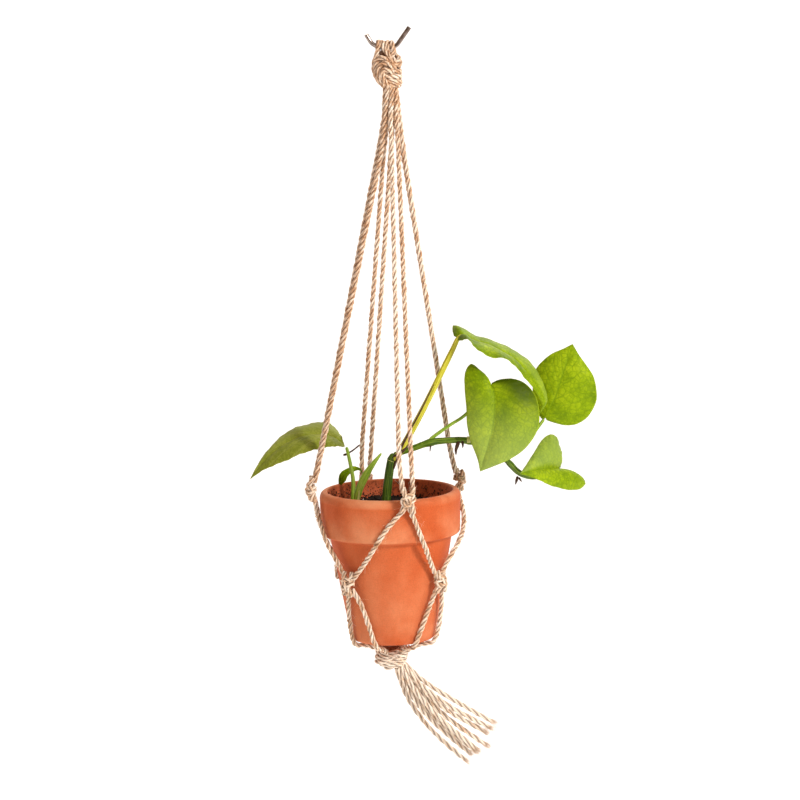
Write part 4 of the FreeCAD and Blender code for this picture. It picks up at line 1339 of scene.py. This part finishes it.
BOTTOM_WRAPS = (
    # middle x, height, radius, how much higher the right is
    (2.0, -556.0, 11.8, 4.6), (2.6, -559.6, 13.2, 5.4), (3.2, -563.2, 13.0, 5.8), (4.6, -566.8, 11.2, 5.2),
    (6.0, -570.0, 8.2, 4.2),
)
BOTTOM_STRANDS = (
    [(-11.0, -3.0, -566.5), (-8.0, -9.5, -566.0), (-1.5, -13.2, -563.0), (5.0, -13.0, -559.0),
     (11.0, -9.0, -555.5), (14.0, -2.5, -555.0)],
    [(10.5, -8.0, -552.5), (15.2, -4.0, -556.0), (16.2, 0.5, -561.0), (14.0, 2.5, -566.5),
     (10.5, 2.0, -570.5)],
    [(4.0, -12.0, -557.5), (9.5, -10.8, -560.5), (13.0, -6.5, -565.0), (12.0, -2.5, -569.5)],
)
BOTTOM_CORE = (
    ((2.6, 0, -552.5), 5.0), ((2.6, 0, -556.0), 9.0), ((2.8, 0, -561.0), 10.8), ((3.6, 0, -565.5), 9.5),
    ((5.0, 0, -569.5), 5.0),
)
routes = []
for x, z, radius, lift in BOTTOM_WRAPS:
    turns = [math.radians(a) for a in range(100, 500, 25)]
    wave = math.radians(z * 40)
    routes.append([
        (x + radius * math.cos(a), radius * math.sin(a),
         z + lift * 0.5 * math.cos(a) + 0.6 * math.sin(2 * a + wave))
        for a in turns
    ])
routes += BOTTOM_STRANDS
cradle_piece("bottom_knot_wraps", routes, "bottom_knot", per_mm=1.1, pale=0.7)
# A core inside the bottom knot, darkened as painted shade in the gaps between its strands.
core = shaded(tapered_part(BOTTOM_CORE, rng, sides=CORE_SIDES), groove=0.7, tone=0.3, dark=0.3)
add_piece("bottom_knot_core", [core], JUTE, body="cradle")
add_piece("cradle_fibres", cradle_fuzz, FIBRE, body="cradle")

# Tassel: its strands have opened, so their lay is longer and their plies stand further apart.

TASSEL_LAY = 8.0
TASSEL_FULLNESS = 1.34
TASSEL_PALE = 0.8
TASSEL_THINNING = 0.2
tassel_fuzz = []
for place, points in TASSEL_STRANDS.items():
    line, _ = resample(route_line(points), ROUTE_STEP)
    rope = [rope_part(line, STRAND_D, rng, TASSEL_THINNING, TASSEL_LAY, TASSEL_FULLNESS, TASSEL_PALE)]
    strand = add_piece(f"tassel_{place}", rope, JUTE, [f"tassel_strand_{place}"], "tassel")
    tassel_fuzz.append(fuzz_part(line, STRAND_D, rng, per_mm=1.8, long_share=0.10))
    tassel_fuzz.append(brush_part(line, STRAND_D, rng))
add_piece("tassel_fibres", tassel_fuzz, FIBRE, body="tassel")
root_parts = []
for y, z in ((2.4, 1.6), (-2.4, 1.6), (0.4, 0.2), (2.0, -1.6), (-2.0, -1.6)):
    route = [(3.5, 0.6 * y, -563.5 + 0.2 * z), (7.5, y, -567.5 + z), (12.0, 1.6 * y, -572.0 + 1.6 * z)]
    root_parts.append(rope_part(route_line(route), STRAND_D, rng))
add_piece("tassel_root", root_parts, JUTE, body="tassel")

# Hook: the CAD mesh itself, in steel.

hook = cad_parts["hook"]
hook.data.materials.clear()
hook.data.materials.append(steel_material())

# Pot and soil.

POT_SIDES = 256
# The inside wall: its radius at the rim and at the bottom, and its depth.
INNER_TOP = 58
INNER_BOTTOM = 33
INNER_DEPTH = 131
SOIL_TOP = 16
SOIL_BOTTOM = 24
SOIL_GAP = 0.3
SOIL_RINGS = 46
SOIL_SIDES = 120


def fillet(points, radius, steps=5):
    """Rounds each corner of a closed (radius, height) outline."""
    out = []
    count = len(points)
    for i, here in enumerate(points):
        here = np.array(here, float)
        before, after = np.array(points[i - 1], float), np.array(points[(i + 1) % count], float)
        a, b = before - here, after - here
        reach = min(radius, 0.4 * np.linalg.norm(a[:2]), 0.4 * np.linalg.norm(b[:2]))
        start = here + a / np.linalg.norm(a[:2]) * reach
        end = here + b / np.linalg.norm(b[:2]) * reach
        for s in np.linspace(0, 1, steps):
            out.append((1 - s) ** 2 * start + 2 * s * (1 - s) * here + s**2 * end)
    return out


def densified(points, step):
    """More points along the long sides of a closed outline."""
    out = []
    for here, after in zip(points, points[1:] + points[:1]):
        length = np.linalg.norm(after[:2] - here[:2])
        pieces = max(1, int(length / step))
        out += [here + (after - here) * k / pieces for k in range(pieces)]
    return out


# (radius, height, inside, chalk): the last is a pale chalky colour on the rim and rounded edges, partly the
# clay's own bloom and partly a painted highlight
POT_PROFILE = [
    (6.5, -139, 0.3, 0.0), (37, -139, 0, 0.1), (39, -137, 0, 0.3), (56.5, -41.5, 0, 0.05),
    (62.5, -40, 0, 0.0), (64, -38.5, 0, 0.5), (64.9, -8, 0, 0.05), (65, -6, 0, 0.35),
    (64.1, -2.2, 0, 0.55), (61.4, -0.2, 0, 0.6), (58.4, 0, 0.1, 0.5), (57.6, -1.6, 0.85, 0.1),
    (33, -131, 1, 0), (6.5, -131, 1, 0),
]
pot_rings = densified(fillet(POT_PROFILE, 1.6), 3.0)
clay = [turned_part(pot_rings, POT_SIDES, wobble=0.0016)]
add_piece("pot_clay", clay, terracotta_material(), ["pot"], "pot")


def inner_radius(depth):
    return INNER_TOP - (INNER_TOP - INNER_BOTTOM) * depth / INNER_DEPTH


def soil_part():
    """The lumpy top of the soil, closed below."""
    radius = np.linspace(0.5, inner_radius(SOIL_TOP) - SOIL_GAP, SOIL_RINGS)
    turn = np.arange(SOIL_SIDES) / SOIL_SIDES * FULL_TURN
    x, y = radius[:, None] * np.cos(turn), radius[:, None] * np.sin(turn)
    h = 1.1 * np.sin(x * 0.21 + 1) * np.cos(y * 0.17 + 2) - SOIL_TOP
    h += 0.7 * np.sin(x * 0.5 + y * 0.37) * np.cos(y * 0.61 - x * 0.2) + rng.normal(0, 0.28, h.shape)
    top = np.stack(in_pot(x, y, h), 2).reshape(-1, 3)
    skirt = [to_pot(math.degrees(t), inner_radius(SOIL_BOTTOM) - SOIL_GAP, -SOIL_BOTTOM) for t in turn]
    ends = [to_pot(0, 0, -SOIL_TOP), to_pot(0, 0, -SOIL_BOTTOM)]
    points = row(np.concatenate([top, skirt, ends]))
    return part(points, *tube_faces(SOIL_RINGS + 1, SOIL_SIDES), tone=np.full(len(points), 0.15))


def crumbs(count, radii, heights, azimuths, sizes, tones):
    """Crumbs scattered in the pot's round frame."""
    places = []
    for _ in range(count):
        azimuth = rng.uniform(*azimuths)
        radius = math.sqrt(rng.uniform(radii[0] ** 2, radii[1] ** 2))
        places.append(to_pot(azimuth, radius, rng.uniform(*heights)))
    return crumb_part(row(places), rng.uniform(*sizes, count), rng, rng.uniform(*tones, count))


def wall_crumbs(count, azimuths, tones):
    """Crumbs stuck on the inner wall between the soil and the rim."""
    places = []
    for _ in range(count):
        depth = 2.5 + 13.5 * rng.uniform(0, 1) ** 0.7
        places.append(to_pot(rng.uniform(*azimuths), inner_radius(depth) - 0.25, -depth))
    return crumb_part(row(places), rng.uniform(0.00025, 0.0009, count), rng, rng.uniform(*tones, count))


soil_parts = [
    soil_part(),
    # count, radii, heights, azimuths, sizes in metres, shades
    crumbs(900, (2, 53.5), (-16.4, -14.6), (0, 360), (0.0004, 0.0015), (0.0, 0.5)),
    crumbs(110, (10, 53.0), (-15.6, -13.2), (0, 360), (0.0008, 0.0022), (0.0, 0.45)),
    crumbs(34, (6, 53.0), (-15.2, -14.2), (250, 320), (0.0004, 0.0011), (0.93, 1.0)),
    crumbs(12, (6, 50.0), (-15.2, -14.2), (0, 360), (0.0004, 0.0009), (0.93, 1.0)),
    wall_crumbs(420, (95, 215), (0.3, 0.85)),
    wall_crumbs(110, (20, 95), (0.2, 0.8)),
]
add_piece("soil_bed", soil_parts, soil_material(), ["soil"], "pot")

# Stems.

DARK_STEM = stem_material("stem_dark", (0.010, 0.026, 0.001), (0.035, 0.078, 0.003), (0.13, 0.20, 0.02))
VINE = stem_material("stem_vine", (0.022, 0.050, 0.002), (0.075, 0.150, 0.005), (0.26, 0.34, 0.03))
PETIOLE = stem_material("stem_bright", (0.30, 0.27, 0.008), (0.48, 0.45, 0.022), (0.70, 0.66, 0.11))
LEAF_STALK = stem_material("stem_leaf", (0.11, 0.22, 0.010), (0.22, 0.36, 0.025), (0.42, 0.50, 0.10))
SHEATH = stem_material("stem_sheath", (0.020, 0.009, 0.006), (0.055, 0.022, 0.012), (0.15, 0.075, 0.035))

# Each stem's look, and its knobs: how far along it they are and how much they swell it.
STEM_LOOKS = {
    "main_stem": (DARK_STEM, ((0.22, 0.05), (0.9, 0.10))),
    "trailing_vine": (VINE, ((0.21, 0.16), (0.42, 0.20), (0.46, 0.12), (0.70, 0.14))),
    "petiole_top": (PETIOLE, ()),
    "petiole_left": (LEAF_STALK, ()),
    "petiole_centre": (LEAF_STALK, ()),
    "petiole_right": (LEAF_STALK, ()),
    "young_shoot": (LEAF_STALK, ()),
}
for name, stations in STEMS.items():
    look, knobs = STEM_LOOKS[name]
    skin = [tapered_part(stations, rng, knobs=knobs, sides=28)]
    add_piece(f"{name}_skin", skin, look, [name], "pot")

SHEATH_SLIVERS = [
    [((5.0, -11.5, -384.0), 0.7), ((8.5, -13.0, -371.0), 1.5), ((13.5, -14.2, -360.0), 1.1),
     ((21.0, -14.6, -346.0), 0.8), ((31.0, -15.0, -327.0), 0.7), ((42.0, -15.8, -304.5), 0.3)],
    [((4.5, -12.5, -372.0), 0.6), ((9.0, -13.4, -370.5), 1.6), ((14.0, -13.0, -366.0), 1.5),
     ((19.0, -12.0, -360.5), 0.5)],
]
ROOTS = [
    [((39.5, -10, -359.5), 0.9), ((38.5, -11, -364.0), 0.7), ((38.2, -11, -368.5), 0.25)],
    [((65.0, -9.5, -357.5), 1.6), ((63.2, -10.5, -362.5), 1.9), ((61.8, -11, -366.5), 1.3),
     ((62.2, -11, -371.0), 0.5)],
    [((67.5, -10.0, -357.5), 1.2), ((68.8, -11, -361.0), 1.1), ((68.2, -11, -364.5), 0.4)],
    [((119.5, 6.5, -393.5), 1.3), ((118.6, 6, -397.5), 1.3), ((117.4, 6, -401.5), 0.4)],
    [((120.5, 6.5, -394.5), 1.1), ((122.0, 6, -397.0), 0.9), ((123.6, 6, -398.8), 0.3)],
]
trim = [tapered_part(stations, rng, sides=12, step=0.0006) for stations in SHEATH_SLIVERS + ROOTS]
add_piece("sheath_and_roots", trim, SHEATH, body="pot")

PALE_RING = stem_material("stem_ring", (0.36, 0.38, 0.10), (0.50, 0.50, 0.16), (0.62, 0.60, 0.26))
RINGS = (
    [((2.3, -8.6, -377.6), 4.15), ((2.7, -8.6, -376.4), 4.35), ((3.2, -8.6, -375.2), 4.0)],
    [((71.0, -8.2, -357.2), 3.1), ((73.5, -8.0, -357.3), 3.45), ((76.5, -7.6, -358.0), 3.1)],
    [((-29.5, -14.2, -422.0), 1.2), ((-27.6, -16.8, -412.0), 1.6), ((-26.5, -18.2, -402.0), 0.4)],
)
ring_parts = [tapered_part(stations, rng, sides=24, step=0.0004) for stations in RINGS]
add_piece("pale_rings", ring_parts, PALE_RING, body="pot")

# Leaves.

BRIGHT_LEAF = leaf_material(
    "leaf_bright", deep=(0.105, 0.185, 0.002), main=(0.220, 0.325, 0.003), light=(0.345, 0.455, 0.008),
    pale=(0.31, 0.40, 0.115), vein=(0.115, 0.205, 0.004), veins=8, blotch=0.38,
)
OLIVE_LEAF = leaf_material(
    "leaf_olive", deep=(0.130, 0.165, 0.010), main=(0.235, 0.275, 0.030), light=(0.34, 0.37, 0.06),
    pale=(0.36, 0.40, 0.12), vein=(0.34, 0.37, 0.09), veins=5, blotch=0.35,
)


def none(side, along):
    return 0.0 * along * side


def smooth(x, low, high):
    t = np.clip((x - low) / (high - low), 0, 1)
    return t * t * (3 - 2 * t)


# Painted sheen over the far half of the top leaf.
def painted_sheen_top(side, along):
    return 0.2 * smooth(side, 0.02, 0.3) * smooth(along, 0.18, 0.38)


# Painted shade near the top leaf's stalk and along its first edge.
def painted_shade_top(side, along):
    return 0.25 * smooth(-along, -0.2, -0.05) + 0.18 * smooth(-side, 0.5, 0.95)


# Painted cast shadow over the upper lobe on the centre leaf's second side, and painted shade on the upper
# part of its first side.
def painted_shade_centre(side, along):
    shadow = smooth(side, 0.05, 0.7) * (1 - smooth(along, 0.3, 0.62))
    return 0.92 * shadow + 0.45 * smooth(-side, 0.35, 0.9) * (1 - smooth(along, 0.16, 0.3))


# Each leaf's material, side veins and cupping, then its painted pale sheen and its painted shade, by side
# (-1 is its first edge) and place along it.
LEAF_LOOKS = {
    "leaf_left": (OLIVE_LEAF, 5, 0.10, lambda s, a: 0.30 * smooth(s, 0.0, 0.6), none),
    "leaf_top": (BRIGHT_LEAF, 8, 0.10, painted_sheen_top, painted_shade_top),
    "leaf_right": (BRIGHT_LEAF, 8, 0.08, none, none),
    "leaf_centre": (BRIGHT_LEAF, 8, 0.12, lambda s, a: 0.5 * smooth(a, 0.35, 0.9), painted_shade_centre),
    "leaf_lower": (BRIGHT_LEAF, 8, 0.12, lambda s, a: 0.35 * smooth(-s, 0.0, 0.2), none),
    # The small leaf gets painted shade towards its tip.
    "small_leaf": (BRIGHT_LEAF, 8, 0.30, none, lambda s, a: 0.4 * smooth(a, 0.3, 1.0)),
}
for name, (look, veins, cup, pale, painted_shade) in LEAF_LOOKS.items():
    blade = [leaf_part(LEAVES[name], rng, cup, pale, painted_shade, veins)]
    add_piece(f"{name}_blade", blade, look, [name], "pot" if name == "small_leaf" else name)

SMALL_STALK = (
    ((-42.0, 30, -377.5), 1.3), ((-40.0, 29, -377.0), 1.1), ((-36.0, 27, -374.5), 0.8),
    ((-31.0, 26, -371.0), 0.7), ((-26.5, 26, -367.0), 0.7),
)
add_piece("small_leaf_stalk", [tapered_part(SMALL_STALK, rng, sides=12)], SHEATH, body="pot")
